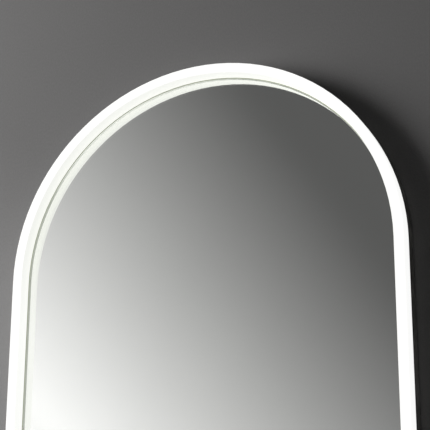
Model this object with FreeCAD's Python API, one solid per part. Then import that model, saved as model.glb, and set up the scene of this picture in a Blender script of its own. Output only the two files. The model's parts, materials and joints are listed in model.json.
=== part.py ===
import FreeCAD, Part
import math
import os
from FreeCAD import Vector

# Capsule-shaped lighted bathroom mirror. A glowing opal ring stands round a recessed mirror
# glass, on a bent aluminium frame that also hides the driver, the wiring and the hanger.
#
# Millimetres. +X is to the right as the mirror is seen from the front, +Z is up, and the
# mirror faces -Y. The wall is the plane y = 0. The origin is on the wall, midway between
# the two screw holes of the wall rail. Shapes are drawn with z counted from the middle of
# the capsule, and save() moves them to the origin.
# An inset is a distance inwards from the outline of the capsule.

# ---- driving dimensions ----
WIDTH = 600.0
HEIGHT = 1200.0
TOTAL_DEPTH = 47.0      # wall to the front of the light
WALL_GAP = 2.0          # the frame's rear edge stays this far off the wall
RAIL_HEIGHT = 320.0     # wall rail's screw holes above the middle of the capsule

LIGHT_WIDTH = 15.0      # front face of the opal ring
LIGHT_DEPTH = 22.0      # lit side of the opal ring
LIGHT_WALL = 2.5
LIGHT_EDGE_R = 1.0

RECESS = 20.9           # front of the light to the face of the glass
GLASS_T = 4.0
GLASS_ARRIS = 0.4       # ground chamfer round the glass
SILVER_T = 0.1          # silver and its protective paint
SILVER_MARGIN = 0.3     # the silver stops this far inside the edge of the glass
SEAL_T = 1.0
SEAL_PROUD = 0.3        # the seal stands this far in front of the glass
SEAL_GAP = 0.2          # seal to the edge of the glass
FILM_T = 0.2
FILM_MARGIN = 1.5       # the film stops this far inside the edge of the glass
TAPE_T = 1.6
TAPE_WIDTH = 24.0
SIDE_TAPES = ((190.0, 620.0), (235.0, 520.0))   # distance of a tape from the middle, length
END_TAPES = ((440.0, 260.0), (500.0, 180.0))
DEMISTER_T = 0.4
DEMISTER_CENTRE = (0.0, 60.0)
DEMISTER_SIZE = (340.0, 480.0)
DEMISTER_CORNER_R = 12.0
PAN_T = 0.8
PAN_GAP = 0.3           # edge of the pan to the frame
BEAD_HALF = 5.0         # half the width of a stiffening bead
BEAD_HEIGHT = 1.4
BEAD_BEVEL = 1.0
SIDE_BEADS = ((222.0, -250.0, 250.0), (150.0, -250.0, -60.0))   # distance, lower and upper end
END_BEADS = ((470.0, 110.0), (520.0, 60.0))                     # distance, half length

FRAME_WALL = 1.6
FLANGE_INSET = 28.0     # inner edge of the flange that the pan is screwed to
FRAME_LIP = 6.0         # inner edge of the lip round the rear
RIB_T = 1.0             # ribs that hold the opal ring
RIB_HEIGHT = 4.0
RIB_GAP = 0.2
SLOT_LIP = 1.2          # lips of the slot that the joint plates slide in
SLOT_GAP = 0.2          # between a joint plate and the walls of its slot
JOINT_Z = -120.0        # where the two bent halves of the frame meet
SEAM = 0.2

PLATE_T = 3.0
PLATE_LENGTH = 70.0
GRUB_R = 1.5
GRUB_PROUD = 1.0        # a grub screw stands this far out of its plate
GRUB_SOCKET = (0.9, 1.3)    # radius and depth of its hexagon socket
GRUB_PLACES = (-26.0, -12.0, 12.0, 26.0)

STRIP_WIDTH = 6.0
STRIP_T = 0.4
CHIP = (3.5, 0.7, 2.8)
CHIP_PITCH = 20.0
LED_ENTRY_Z = -60.0     # where the lead comes through the frame to the strip
LED_ENTRY_R = 2.8

SCREW_COUNT = 14
SCREW_INSET = 21.5
M4_R = 1.95
M4_HEAD_R = 3.8
M4_HEAD_T = 2.2
M4_LOOSE = 0.3          # room round a screw in a hole that it passes through
M4_CLOSE = 0.05         # and in a hole that it holds in
LID_SCREW = {"r": 1.25, "head_r": 2.6, "head_t": 1.5}
LID_SCREW_LENGTH = 7.0
LID_HOLE_R = 1.7

RAIL_T = 2.5
RAIL_LENGTH = 340.0
RAIL_HALF = 14.0        # half the height of the rail's plate
RAIL_LIP_Y = 9.5        # front of the rail's lip, from the wall
RAIL_LIP_HEIGHT = 11.5
RAIL_HOLE_X = 120.0
RAIL_HOLE_R = 2.75
HANGER_LENGTH = 300.0
HANGER_T = 2.0
HANGER_HALF = 20.0      # half the height of the hanger's plate
HOOK_GAP = 1.0          # between the hook and the rail's lip
HOOK_DROP = 9.5
RIVET_R = 2.0
RIVET_HEAD_R = 4.0
RIVET_HEAD_T = 1.2
RIVET_CORE_R = 1.0
RIVET_XS = (-135.0, -45.0, 45.0, 135.0)
RIVET_RISE = 12.0       # rivets above the hanger's shelf

BOX_CENTRE = (0.0, 150.0)
BOX_SIZE = (96.0, 50.0)
DRIVER_CENTRE = (0.0, 20.0)
DRIVER_SIZE = (160.0, 42.0)
CASE_BACK = -4.0        # rear of the driver and the terminal box
CASE_WALL = 1.5
CASE_CORNER_R = 3.0
EAR = 12.0
EAR_T = 1.6
EAR_CORNER_R = 4.0
LEAD_HOLE_GAP = 0.1
LID_POST_R = 3.5
LID_POST_BORE_R = 1.3
LID_SCREW_INSET = 6.0
RIB_COUNT = 5           # cooling ribs on the driver's lid
RIB_PITCH = 5.0
RIB_SIZE = (104.0, 1.8, 0.8)    # length, width, height

BOARD_SIZE = (136.0, 26.0)
BOARD_T = 1.2
BOARD_LIFT = 2.0        # board above the floor of its case
BOARD_FEET = (50.0, 9.0)
BOARD_FOOT_R = 1.5
BOARD_BLOCKS = (        # place (x, z) on the board, size (x, z), height
    ((-6.0, 0.0), (24.0, 20.0), 6.5),       # transformer
    ((-38.0, 4.0), (14.0, 12.0), 6.0),      # coil
    ((58.0, 0.0), (14.0, 20.0), 6.0),       # output terminals
    ((-60.0, 0.0), (12.0, 22.0), 6.0),      # mains terminals
)
BOARD_CANS = (          # capacitors: place, radius, height
    ((22.0, 4.0), 5.0, 6.5),
    ((35.0, -5.0), 5.0, 6.5),
    ((-24.0, -6.0), 4.0, 6.0),
)

TERMINAL_DX = 16.0      # terminal block from the middle of its box
TERMINAL_SIZE = (34.0, 16.0)
TERMINAL_FOOT = 5.0     # height of the block below its towers
TERMINAL_HEIGHT = 9.0
TERMINAL_PITCH = 11.0
TOWER_SIZE = (9.0, 12.0)
TERMINAL_SCREW_DZ = 3.2
TERMINAL_SCREW_R = 1.4
TERMINAL_SCREW_T = 1.8
TERMINAL_SCREW_LIFT = 6.5
TERMINAL_SLOT = (2.6, 0.5, 0.5)     # length, width and depth of a screw's slot
WIRE_ENTRY_R = 1.4
WIRE_ENTRY_LIFT = 3.0

BOX_MAINS_DZ = -10.0    # places of the leads in the walls of the two cases
BOX_DEMISTER_DZ = 10.0
BOX_EARTH_DX = -30.0
DRIVER_MAINS_DZ = 12.0
DRIVER_LED_DZ = 8.0
DRIVER_SWITCH_DX = 40.0
MAINS_LEAD_X = -128.0
LED_LEAD_X = 140.0
SWITCH_LEAD_Z = -61.0
TAG_BARREL_X = 6.0      # start of the earth tag's barrel, from its screw

MAINS_BORE_R = 4.2
MAINS_POINT = (-24.0, 150.0)
PAN_GROMMET_POINT = (112.0, 236.0)
EARTH_POINT = (-84.0, 222.0)
GROMMET_WALL = 2.0      # from the bore to the foot of the groove
GROMMET_FLANGE = 1.5    # the flanges stand this far beyond the groove
GROMMET_FLANGE_T = 1.2
GROMMET_THIN_T = 0.3    # the front flange in the pan, where the glass is close
BUMPER_POINTS = ((-170.0, -380.0), (170.0, -380.0))
BUMPER_R = 11.0
BUMPER_EDGE_R = 1.5
BUMPER_POCKET_R = 5.0   # pocket in the spacer for the head of its screw
BUMPER_SEAT_Y = -8.0    # floor of that pocket

TAG_T = 0.8
TAG_R = 4.5
TAG_HALF = 1.8          # half the width of the tag's tongue
TAG_BARREL_LENGTH = 8.0
TAG_BARREL_WALL = 0.6

SWITCH_Y = -10.8        # axis of the push switch, in the foot of the frame
BUTTON_TRAVEL = 1.5
BUTTON_R = 3.3
BUTTON_PROUD = 1.8      # the button stands this far below its bezel
BUTTON_EDGE_R = 0.8
RUNNING = 0.1           # radial clearance of the button in its bush
COLLAR_R = 4.1
COLLAR_T = 1.2
PIN_R = 1.5
BUSH_R = 5.0
BUSH_LENGTH = 12.0
SHOULDER = 4.0          # from the outline to the shoulder that stops the button
PLUG_LENGTH = 1.5
BEZEL_R = 6.2
BEZEL_T = 1.2
NUT_FLATS = 11.0
NUT_T = 2.4
NUT_GAP = 0.1           # from the frame to the nut
SWITCH_HALF = 5.4
SWITCH_LENGTH = 13.0
SWITCH_CORNER_R = 1.2
SPRING_R = 2.8
SPRING_WIRE_R = 0.25
SPRING_TURNS = 5

MAINS_LEAD_R = 3.0
LEAD_R = 2.0
SWITCH_LEAD_R = 1.5
EARTH_LEAD_R = 1.2
LEAD_BEND_R = 24.0      # largest bend of a lead; a short run makes its bend tighter
LEAD_INSIDE = 6.0       # length of a lead inside its case
CLIP_WALL = 1.4
CLIP_LENGTH = 8.0
CLIP_FOOT = (16.0, 10.0)    # across and along the lead
CLIP_FOOT_T = 1.4

# ---- derived planes and radii ----
Y_FRONT = -TOTAL_DEPTH
Y_LIGHT_BACK = Y_FRONT + LIGHT_DEPTH
Y_FLOOR_BACK = Y_LIGHT_BACK + FRAME_WALL
Y_GLASS = Y_FRONT + RECESS
Y_GLASS_BACK = Y_GLASS + GLASS_T
Y_SILVER_BACK = Y_GLASS_BACK + SILVER_T
Y_FILM_BACK = Y_SILVER_BACK + FILM_T
Y_PAN = Y_FILM_BACK + TAPE_T
Y_PAN_BACK = Y_PAN + PAN_T
Y_FLANGE_BACK = Y_PAN_BACK + FRAME_WALL
Y_FRAME_BACK = -WALL_GAP
Y_LEAD = Y_PAN_BACK + CASE_WALL + MAINS_LEAD_R + 0.3
END_R = WIDTH / 2
END_Z = (HEIGHT - WIDTH) / 2
GLASS_INSET = LIGHT_WIDTH + SEAL_T + SEAL_GAP
FRAME_INNER = LIGHT_WIDTH - FRAME_WALL
LIGHT_MIDDLE = LIGHT_WIDTH / 2
Z_BOTTOM = -HEIGHT / 2
SHOULDER_Z = Z_BOTTOM + SHOULDER
BUSH_TOP = Z_BOTTOM + BUSH_LENGTH
PLUG_Z = BUSH_TOP - PLUG_LENGTH
SWITCH_TOP = BUSH_TOP + SWITCH_LENGTH
BUTTON_FACE_Z = Z_BOTTOM - BEZEL_T - BUTTON_PROUD
REACH = 2000.0          # larger than the whole mirror, for cutting it in two


# ---- shape helpers ----
def capsule(inset, y0, y1):
    """Solid capsule of the outline less inset, between two depths."""
    r = END_R - inset
    right_top = Vector(r, y0, END_Z)
    left_top = Vector(-r, y0, END_Z)
    left_bottom = Vector(-r, y0, -END_Z)
    right_bottom = Vector(r, y0, -END_Z)
    edges = [
        Part.Arc(right_top, Vector(0, y0, END_Z + r), left_top).toShape(),
        Part.LineSegment(left_top, left_bottom).toShape(),
        Part.Arc(left_bottom, Vector(0, y0, -END_Z - r), right_bottom).toShape(),
        Part.LineSegment(right_bottom, right_top).toShape(),
    ]
    return Part.Face(Part.Wire(edges)).extrude(Vector(0, y1 - y0, 0))


def ring(outer, inner, y0, y1):
    """Band of the capsule between two insets."""
    return capsule(outer, y0, y1).cut(capsule(inner, y0, y1))


def box(x0, x1, y0, y1, z0, z1):
    return Part.makeBox(x1 - x0, y1 - y0, z1 - z0, Vector(x0, y0, z0))


def centred_box(point, size, y0, y1):
    """Box about a point (x, z), of a size (x, z), between two depths."""
    (x, z), (a, b) = point, size
    return box(x - a / 2, x + a / 2, y0, y1, z - b / 2, z + b / 2)


def peg(point, r, y0, y1):
    """Round bar along Y through a point (x, z)."""
    return Part.makeCylinder(r, y1 - y0, Vector(point[0], y0, point[1]), Vector(0, 1, 0))


def post(r, z0, z1):
    """Round bar along Z on the switch's axis."""
    return Part.makeCylinder(r, z1 - z0, Vector(0, SWITCH_Y, z0), Vector(0, 0, 1))


def fuse(shapes):
    """One solid of several that touch."""
    first, *others = shapes
    return first.multiFuse(others).removeSplitter() if others else first


def soften(shape, radius, wanted):
    """Fillet the edges for which wanted(edge) is true."""
    return shape.makeFillet(radius, [e for e in shape.Edges if wanted(e)])


def lies_at(edge, axis, value):
    """True if an edge lies in the plane where that coordinate has that value."""
    low = getattr(edge.BoundBox, axis + "Min")
    high = getattr(edge.BoundBox, axis + "Max")
    return abs(low - value) < 1e-4 and abs(high - value) < 1e-4


def runs_along(edge, direction):
    """True for a straight edge that is parallel to a direction."""
    if not isinstance(edge.Curve, Part.Line):
        return False
    return abs(abs(edge.Curve.Direction.dot(direction)) - 1) < 1e-6


def rim_length(inset):
    """Length of the line that runs round at an inset."""
    return 2 * math.pi * (END_R - inset) + 4 * END_Z


def rim_point(s, inset):
    """Point (x, z) and the turn about Y at a length s round an inset line.
    s starts at the lowest point and runs up the right side."""
    r = END_R - inset
    quarter = math.pi * r / 2
    s = s % rim_length(inset)
    if s < quarter:
        turn = s / r
        return r * math.sin(turn), -END_Z - r * math.cos(turn), turn
    s -= quarter
    if s < 2 * END_Z:
        return r, s - END_Z, math.pi / 2
    s -= 2 * END_Z
    if s < 2 * quarter:
        turn = s / r
        return r * math.cos(turn), END_Z + r * math.sin(turn), math.pi / 2 + turn
    s -= 2 * quarter
    if s < 2 * END_Z:
        return -r, END_Z - s, 3 * math.pi / 2
    turn = (s - 2 * END_Z) / r
    return -r * math.cos(turn), -END_Z - r * math.sin(turn), 3 * math.pi / 2 + turn


def spread(count, inset):
    """Points (x, z) evenly spaced round an inset line, none at the lowest point."""
    step = rim_length(inset) / count
    return [rim_point((i + 0.5) * step, inset)[:2] for i in range(count)]


def tube(points, r):
    """Round lead along straight runs, joined by arcs that touch both runs."""
    corners = [Vector(*p) for p in points]
    edges = []
    start = corners[0]
    for before, corner, after in zip(corners, corners[1:], corners[2:]):
        shorter = min((before - corner).Length, (after - corner).Length)
        to_before = (before - corner).normalize()
        to_after = (after - corner).normalize()
        half = to_before.getAngle(to_after) / 2
        bend_r = min(LEAD_BEND_R, 0.45 * shorter * math.tan(half))
        cut = bend_r / math.tan(half)
        enter = corner + to_before * cut
        leave = corner + to_after * cut
        middle = (to_before + to_after).normalize()
        crown = corner + middle * (bend_r / math.sin(half) - bend_r)
        edges.append(Part.LineSegment(start, enter).toShape())
        edges.append(Part.Arc(enter, crown, leave).toShape())
        start = leave
    edges.append(Part.LineSegment(start, corners[-1]).toShape())
    path = Part.Wire(edges)
    section = Part.Wire(Part.makeCircle(r, corners[0], corners[1] - corners[0]))
    solid = path.makePipeShell([section], True, False)
    error = solid.Volume / (math.pi * r * r * path.Length) - 1
    print(f"lead {path.Length:.0f} mm long, volume off by {100 * error:.2f}%")
    return solid


def pan_screw(point, y_head, y_tip, r=M4_R, head_r=M4_HEAD_R, head_t=M4_HEAD_T):
    """Domed pan-head screw with a cross slot. Its head is on the wall side of y_head."""
    head = peg(point, head_r, y_head, y_head + head_t)
    head = soften(head, head_t * 0.45, lambda e: lies_at(e, "Y", y_head + head_t))
    x, z = point
    slot_t = head_r * 0.22
    slot_y = y_head + head_t * 0.45
    long_slot = box(x - head_r / 2, x + head_r / 2, slot_y, 0, z - slot_t / 2, z + slot_t / 2)
    tall_slot = box(x - slot_t / 2, x + slot_t / 2, slot_y, 0, z - head_r / 2, z + head_r / 2)
    head = head.cut(long_slot.fuse(tall_slot))
    return head.fuse(peg(point, r, y_tip, y_head)).removeSplitter()


def save(name, shape):
    """Write one node, moved to the origin on the wall."""
    moved = shape.copy()
    moved.translate(Vector(0, 0, -RAIL_HEIGHT))
    if not moved.isValid() or moved.Volume <= 0:
        raise RuntimeError(f"{name} is not a valid solid")
    moved.exportStep(os.path.join("parts", name + ".step"))
    print(f"{name}: {len(moved.Solids)} solid(s), {moved.Volume / 1000:.2f} cm3")


def save_group(name, solids):
    """Write several separate solids as one node."""
    save(name, Part.makeCompound(solids))


# ---- the light ----
def light_diffuser():
    """Opal ring of U section, open at the back."""
    outer = capsule(0, Y_FRONT, Y_LIGHT_BACK)
    shell = outer.cut(capsule(LIGHT_WIDTH, Y_FRONT, Y_LIGHT_BACK))
    shell = soften(shell, LIGHT_EDGE_R, lambda e: lies_at(e, "Y", Y_FRONT))
    hollow = ring(LIGHT_WALL, LIGHT_WIDTH - LIGHT_WALL, Y_FRONT + LIGHT_WALL, Y_LIGHT_BACK)
    return shell.cut(hollow)


def led_strip():
    """Flexible circuit board round the frame's floor, open where the lead comes in."""
    band = ring(LIGHT_MIDDLE - STRIP_WIDTH / 2, LIGHT_MIDDLE + STRIP_WIDTH / 2,
                Y_LIGHT_BACK - STRIP_T, Y_LIGHT_BACK)
    gap = centred_box((END_R - LIGHT_MIDDLE, LED_ENTRY_Z), (STRIP_WIDTH + 2, 2 * LED_ENTRY_R),
                      Y_LIGHT_BACK - 1, Y_LIGHT_BACK + 1)
    return band.cut(gap)


def led_chips():
    """Light-emitting chips along the strip, none at the place where the lead comes in."""
    count = round(rim_length(LIGHT_MIDDLE) / CHIP_PITCH)
    step = rim_length(LIGHT_MIDDLE) / count
    along, thick, across = CHIP
    chips = []
    for i in range(count):
        x, z, turn = rim_point((i + 0.5) * step, LIGHT_MIDDLE)
        if x > 0 and abs(z - LED_ENTRY_Z) < CHIP_PITCH / 2:
            continue
        chip = Part.makeBox(along, thick, across, Vector(-along / 2, 0, -across / 2))
        chip.rotate(Vector(0, 0, 0), Vector(0, 1, 0), -math.degrees(turn))
        chip.translate(Vector(x, Y_LIGHT_BACK - STRIP_T - thick, z))
        chips.append(chip)
    return chips


# ---- the frame ----
def frame_section():
    """Whole bent extrusion before it is cut into its two halves."""
    rib_out = LIGHT_WALL + RIB_GAP
    rib_in = LIGHT_WIDTH - LIGHT_WALL - RIB_GAP
    slot_y = Y_FLOOR_BACK + PLATE_T + 2 * SLOT_GAP
    bands = [
        ring(0, FRAME_WALL, Y_LIGHT_BACK, Y_FRAME_BACK),
        ring(0, LIGHT_WIDTH, Y_LIGHT_BACK, Y_FLOOR_BACK),
        ring(rib_out, rib_out + RIB_T, Y_LIGHT_BACK - RIB_HEIGHT, Y_LIGHT_BACK),
        ring(rib_in - RIB_T, rib_in, Y_LIGHT_BACK - RIB_HEIGHT, Y_LIGHT_BACK),
        ring(FRAME_INNER, LIGHT_WIDTH, Y_FLOOR_BACK, Y_PAN_BACK),
        ring(FRAME_INNER, FLANGE_INSET, Y_PAN_BACK, Y_FLANGE_BACK),
        ring(FRAME_WALL, FRAME_WALL + SLOT_LIP, slot_y, slot_y + SLOT_LIP),
        ring(FRAME_INNER - SLOT_LIP, FRAME_INNER, slot_y, slot_y + SLOT_LIP),
        ring(FRAME_WALL, FRAME_LIP, Y_FRAME_BACK - FRAME_WALL, Y_FRAME_BACK),
    ]
    frame = fuse(bands)
    holes = [peg(p, M4_R + M4_LOOSE, Y_PAN, 0) for p in spread(SCREW_COUNT, SCREW_INSET)]
    lead_at = (END_R - LIGHT_MIDDLE, LED_ENTRY_Z)
    holes.append(peg(lead_at, LED_ENTRY_R, Y_LIGHT_BACK - 1, Y_FLOOR_BACK + 1))
    holes.append(post(BUSH_R + RUNNING, Z_BOTTOM - 2, Z_BOTTOM + FRAME_WALL + 2))
    return frame.cut(Part.makeCompound(holes))


def frame_halves():
    """Upper and lower half, with a seam between them on both sides."""
    frame = frame_section()
    above = box(-REACH, REACH, -REACH, REACH, JOINT_Z + SEAM / 2, REACH)
    below = box(-REACH, REACH, -REACH, REACH, -REACH, JOINT_Z - SEAM / 2)
    return frame.common(above), frame.common(below)


def joint_plates():
    """Steel bars that slide in the frame's slot across both joints, and their grub screws."""
    y0 = Y_FLOOR_BACK + SLOT_GAP
    middle = END_R - LIGHT_MIDDLE
    width = FRAME_INNER - FRAME_WALL - 3 * SLOT_GAP
    socket_r, socket_depth = GRUB_SOCKET
    top = y0 + PLATE_T + GRUB_PROUD - SLOT_GAP
    plates, screws = [], []
    for side in (-1, 1):
        bar = centred_box((side * middle, JOINT_Z), (width, PLATE_LENGTH), y0, y0 + PLATE_T)
        for dz in GRUB_PLACES:
            point = (side * middle, JOINT_Z + dz)
            bar = bar.cut(peg(point, GRUB_R + M4_CLOSE, y0 - 1, y0 + PLATE_T + 1))
            screw = peg(point, GRUB_R, Y_FLOOR_BACK, top)
            screws.append(screw.cut(hexagon(point, socket_r, top - socket_depth, 0)))
        plates.append(bar)
    return plates, screws


def hexagon(point, r, y0, y1):
    """Six-sided bar along Y, r across a corner."""
    corners = []
    for i in range(7):
        a = i * math.pi / 3
        corners.append(Vector(point[0] + r * math.cos(a), y0, point[1] + r * math.sin(a)))
    return Part.Face(Part.makePolygon(corners)).extrude(Vector(0, y1 - y0, 0))


# ---- the glass and what is behind it ----
def mirror_glass():
    """Clear glass with a ground edge."""
    plate = capsule(GLASS_INSET, Y_GLASS, Y_GLASS_BACK)
    rim = [e for e in plate.Edges if lies_at(e, "Y", Y_GLASS)]
    return plate.makeChamfer(GLASS_ARRIS, rim)


def glass_seal():
    """Dark band that closes the gap between the light and the glass."""
    return ring(LIGHT_WIDTH, LIGHT_WIDTH + SEAL_T, Y_GLASS - SEAL_PROUD, Y_GLASS_BACK)


def silver_layer():
    """Silver on the rear of the glass, a little smaller than the glass."""
    return capsule(GLASS_INSET + SILVER_MARGIN, Y_GLASS_BACK, Y_SILVER_BACK)


def safety_film():
    """Film that holds the pieces together if the glass breaks."""
    return capsule(GLASS_INSET + FILM_MARGIN, Y_SILVER_BACK, Y_FILM_BACK)


def glass_tapes():
    """Foam tape pads that hold the glass on the pan, clear of the heated pad."""
    pads = []
    for side in (-1, 1):
        for x, length in SIDE_TAPES:
            pads.append(centred_box((side * x, 0), (TAPE_WIDTH, length), Y_FILM_BACK, Y_PAN))
        for z, length in END_TAPES:
            pads.append(centred_box((0, side * z), (length, TAPE_WIDTH), Y_FILM_BACK, Y_PAN))
    return pads


def demister_pad():
    """Thin heated pad, with the joint of its lead as a small stud."""
    pad = centred_box(DEMISTER_CENTRE, DEMISTER_SIZE, Y_FILM_BACK, Y_FILM_BACK + DEMISTER_T)
    pad = soften(pad, DEMISTER_CORNER_R, lambda e: runs_along(e, Vector(0, 1, 0)))
    stud = peg(PAN_GROMMET_POINT, LEAD_R - LEAD_HOLE_GAP, Y_FILM_BACK + DEMISTER_T, Y_PAN)
    return pad.fuse(stud)


def bead(x0, z0, x1, z1):
    """Pressed stiffening bead on the rear of the pan, round at both ends."""
    top = Y_PAN_BACK + BEAD_HEIGHT
    ends = [peg(p, BEAD_HALF, Y_PAN_BACK, top) for p in ((x0, z0), (x1, z1))]
    if x0 == x1:
        bar = box(x0 - BEAD_HALF, x0 + BEAD_HALF, Y_PAN_BACK, top, z0, z1)
    else:
        bar = box(x0, x1, Y_PAN_BACK, top, z0 - BEAD_HALF, z0 + BEAD_HALF)
    ridge = fuse([bar, *ends])
    return ridge.makeChamfer(BEAD_BEVEL, [e for e in ridge.Edges if lies_at(e, "Y", top)])


def back_pan():
    """Sheet steel pan that closes the mirror at the back and carries all that is behind it."""
    pan = capsule(LIGHT_WIDTH + PAN_GAP, Y_PAN, Y_PAN_BACK)
    beads = []
    for side in (-1, 1):
        for x, low, high in SIDE_BEADS:
            beads.append(bead(side * x, low, side * x, high))
        for z, half in END_BEADS:
            beads.append(bead(-half, side * z, half, side * z))
    pan = fuse([pan, *beads])
    holes = [(p, M4_R + M4_CLOSE) for p in spread(SCREW_COUNT, SCREW_INSET) + fixing_points()]
    holes += [(p, RIVET_R) for p in rivet_points()]
    holes.append((PAN_GROMMET_POINT, LEAD_R + GROMMET_WALL))
    holes = [peg(p, r, Y_PAN - 1, Y_PAN_BACK + 1) for p, r in holes]
    return pan.cut(Part.makeCompound(holes))


# ---- wall rail and hanger ----
def wall_rail():
    """Aluminium rail with an upturned lip, screwed to the wall."""
    half = RAIL_LENGTH / 2
    z0 = RAIL_HEIGHT
    lip_top = z0 + RAIL_HALF + RAIL_T + RAIL_LIP_HEIGHT
    plate = box(-half, half, -RAIL_T, 0, z0 - RAIL_HALF, z0 + RAIL_HALF + RAIL_T)
    shelf = box(-half, half, -RAIL_LIP_Y, 0, z0 + RAIL_HALF, z0 + RAIL_HALF + RAIL_T)
    lip = box(-half, half, -RAIL_LIP_Y, -RAIL_LIP_Y + RAIL_T, z0 + RAIL_HALF, lip_top)
    rail = fuse([plate, shelf, lip])
    holes = [peg((x, z0), RAIL_HOLE_R, -RAIL_T - 1, 1) for x in (-RAIL_HOLE_X, RAIL_HOLE_X)]
    return rail.cut(Part.makeCompound(holes))


def hook_levels():
    """Underside of the hanger's shelf, where it rests on the rail, and the rail lip's rear."""
    shelf_z = RAIL_HEIGHT + RAIL_HALF + RAIL_T + RAIL_LIP_HEIGHT
    lip_back = -RAIL_LIP_Y + RAIL_T
    return shelf_z, lip_back


def hanger_rail():
    """Rail on the pan whose hook hangs behind the wall rail's lip."""
    half = HANGER_LENGTH / 2
    shelf_z, lip_back = hook_levels()
    hook_y = lip_back + HOOK_GAP
    plate = box(-half, half, Y_PAN_BACK, Y_PAN_BACK + HANGER_T,
                shelf_z - HANGER_HALF, shelf_z + HANGER_HALF)
    shelf = box(-half, half, Y_PAN_BACK, hook_y + HANGER_T, shelf_z, shelf_z + HANGER_T)
    hook = box(-half, half, hook_y, hook_y + HANGER_T, shelf_z - HOOK_DROP, shelf_z + HANGER_T)
    rail = fuse([plate, shelf, hook])
    holes = [peg(p, RIVET_R, Y_PAN, Y_PAN_BACK + HANGER_T + 1) for p in rivet_points()]
    return rail.cut(Part.makeCompound(holes))


def rivet_points():
    shelf_z, _ = hook_levels()
    return [(x, shelf_z + RIVET_RISE) for x in RIVET_XS]


def hanger_rivets():
    """Blind rivets that hold the hanger on the pan."""
    rivets = []
    y = Y_PAN_BACK + HANGER_T
    for p in rivet_points():
        head = peg(p, RIVET_HEAD_R, y, y + RIVET_HEAD_T)
        head = soften(head, RIVET_HEAD_T * 0.8, lambda e: lies_at(e, "Y", y + RIVET_HEAD_T))
        head = head.cut(peg(p, RIVET_CORE_R, y + RIVET_HEAD_T * 0.4, 0))
        rivets.append(head.fuse(peg(p, RIVET_R, Y_PAN, y)).removeSplitter())
    return rivets


def bumper(point):
    """Rubber spacer that keeps the foot of the mirror off the wall."""
    body = peg(point, BUMPER_R, Y_PAN_BACK, 0)
    body = soften(body, BUMPER_EDGE_R, lambda e: lies_at(e, "Y", 0))
    body = body.cut(peg(point, BUMPER_POCKET_R, BUMPER_SEAT_Y, 1))
    return body.cut(peg(point, M4_R + M4_CLOSE, Y_PAN_BACK - 1, 1))


# ---- cases ----
def ear_points(centre, size):
    """Screw holes in the two ears of a case."""
    x, z = centre
    reach = size[0] / 2 + EAR / 2
    return [(x - reach, z), (x + reach, z)]


def fixing_points():
    """Screws that hold the driver, the terminal box, the spacers and the earth tag."""
    points = ear_points(DRIVER_CENTRE, DRIVER_SIZE) + ear_points(BOX_CENTRE, BOX_SIZE)
    return points + list(BUMPER_POINTS) + [EARTH_POINT]


def case_tray(centre, size, openings):
    """Open tray with an ear at each end, and round openings for its leads."""
    rim = CASE_BACK - CASE_WALL
    tray = centred_box(centre, size, Y_PAN_BACK, rim)
    tray = soften(tray, CASE_CORNER_R, lambda e: runs_along(e, Vector(0, 1, 0)))
    room = (size[0] - 2 * CASE_WALL, size[1] - 2 * CASE_WALL)
    ears = centred_box(centre, (size[0] + 2 * EAR, EAR), Y_PAN_BACK, Y_PAN_BACK + EAR_T)
    ears = soften(ears, EAR_CORNER_R, lambda e: runs_along(e, Vector(0, 1, 0)))
    tray = fuse([tray, ears])
    tray = tray.cut(centred_box(centre, room, Y_PAN_BACK + CASE_WALL, 0))
    holes = [peg(p, M4_R + M4_LOOSE, Y_PAN_BACK - 1, 0) for p in ear_points(centre, size)]
    return tray.cut(Part.makeCompound(holes + openings))


def lid_plate(centre, size):
    """Flat lid of a case, with the holes for its two screws."""
    lid = centred_box(centre, size, CASE_BACK - CASE_WALL, CASE_BACK)
    lid = soften(lid, CASE_CORNER_R, lambda e: runs_along(e, Vector(0, 1, 0)))
    holes = [peg(p, LID_HOLE_R, CASE_BACK - 4, 0) for p in lid_screw_points(centre, size)]
    return lid.cut(Part.makeCompound(holes))


def lid_screw_points(centre, size):
    """Two opposite corners of a case, where its lid is screwed on."""
    x, z = centre
    dx = size[0] / 2 - LID_SCREW_INSET
    dz = size[1] / 2 - LID_SCREW_INSET
    return [(x - dx, z - dz), (x + dx, z + dz)]


def lid_posts(centre, size):
    """Bosses inside a tray that its lid is screwed to."""
    floor_y = Y_PAN_BACK + CASE_WALL
    posts = []
    for p in lid_screw_points(centre, size):
        boss = peg(p, LID_POST_R, floor_y, CASE_BACK - CASE_WALL)
        posts.append(boss.cut(peg(p, LID_POST_BORE_R, floor_y + 2, 0)))
    return posts


def lead_hole(point, direction, lead_r):
    """Opening for a lead through the wall of a tray."""
    start = Vector(point[0], Y_LEAD, point[1]) - direction * 4
    return Part.makeCylinder(lead_r + LEAD_HOLE_GAP, 8, start, direction)


def driver_case():
    """Tray of the power supply, with its three leads' openings."""
    x, z = DRIVER_CENTRE
    dx = DRIVER_SIZE[0] / 2
    dz = DRIVER_SIZE[1] / 2
    openings = [
        lead_hole((x - dx, z + DRIVER_MAINS_DZ), Vector(1, 0, 0), MAINS_LEAD_R),
        lead_hole((x + dx, z + DRIVER_LED_DZ), Vector(1, 0, 0), LEAD_R),
        lead_hole((x + DRIVER_SWITCH_DX, z - dz), Vector(0, 0, 1), SWITCH_LEAD_R),
    ]
    tray = case_tray(DRIVER_CENTRE, DRIVER_SIZE, openings)
    return fuse([tray, *lid_posts(DRIVER_CENTRE, DRIVER_SIZE)])


def driver_lid():
    """Lid with a row of cooling ribs along it."""
    x, z = DRIVER_CENTRE
    length, width, height = RIB_SIZE
    ribs = []
    for i in range(RIB_COUNT):
        rib_z = z + (i - (RIB_COUNT - 1) / 2) * RIB_PITCH
        ribs.append(centred_box((x, rib_z), (length, width), CASE_BACK, CASE_BACK + height))
    return fuse([lid_plate(DRIVER_CENTRE, DRIVER_SIZE), *ribs])


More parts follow.
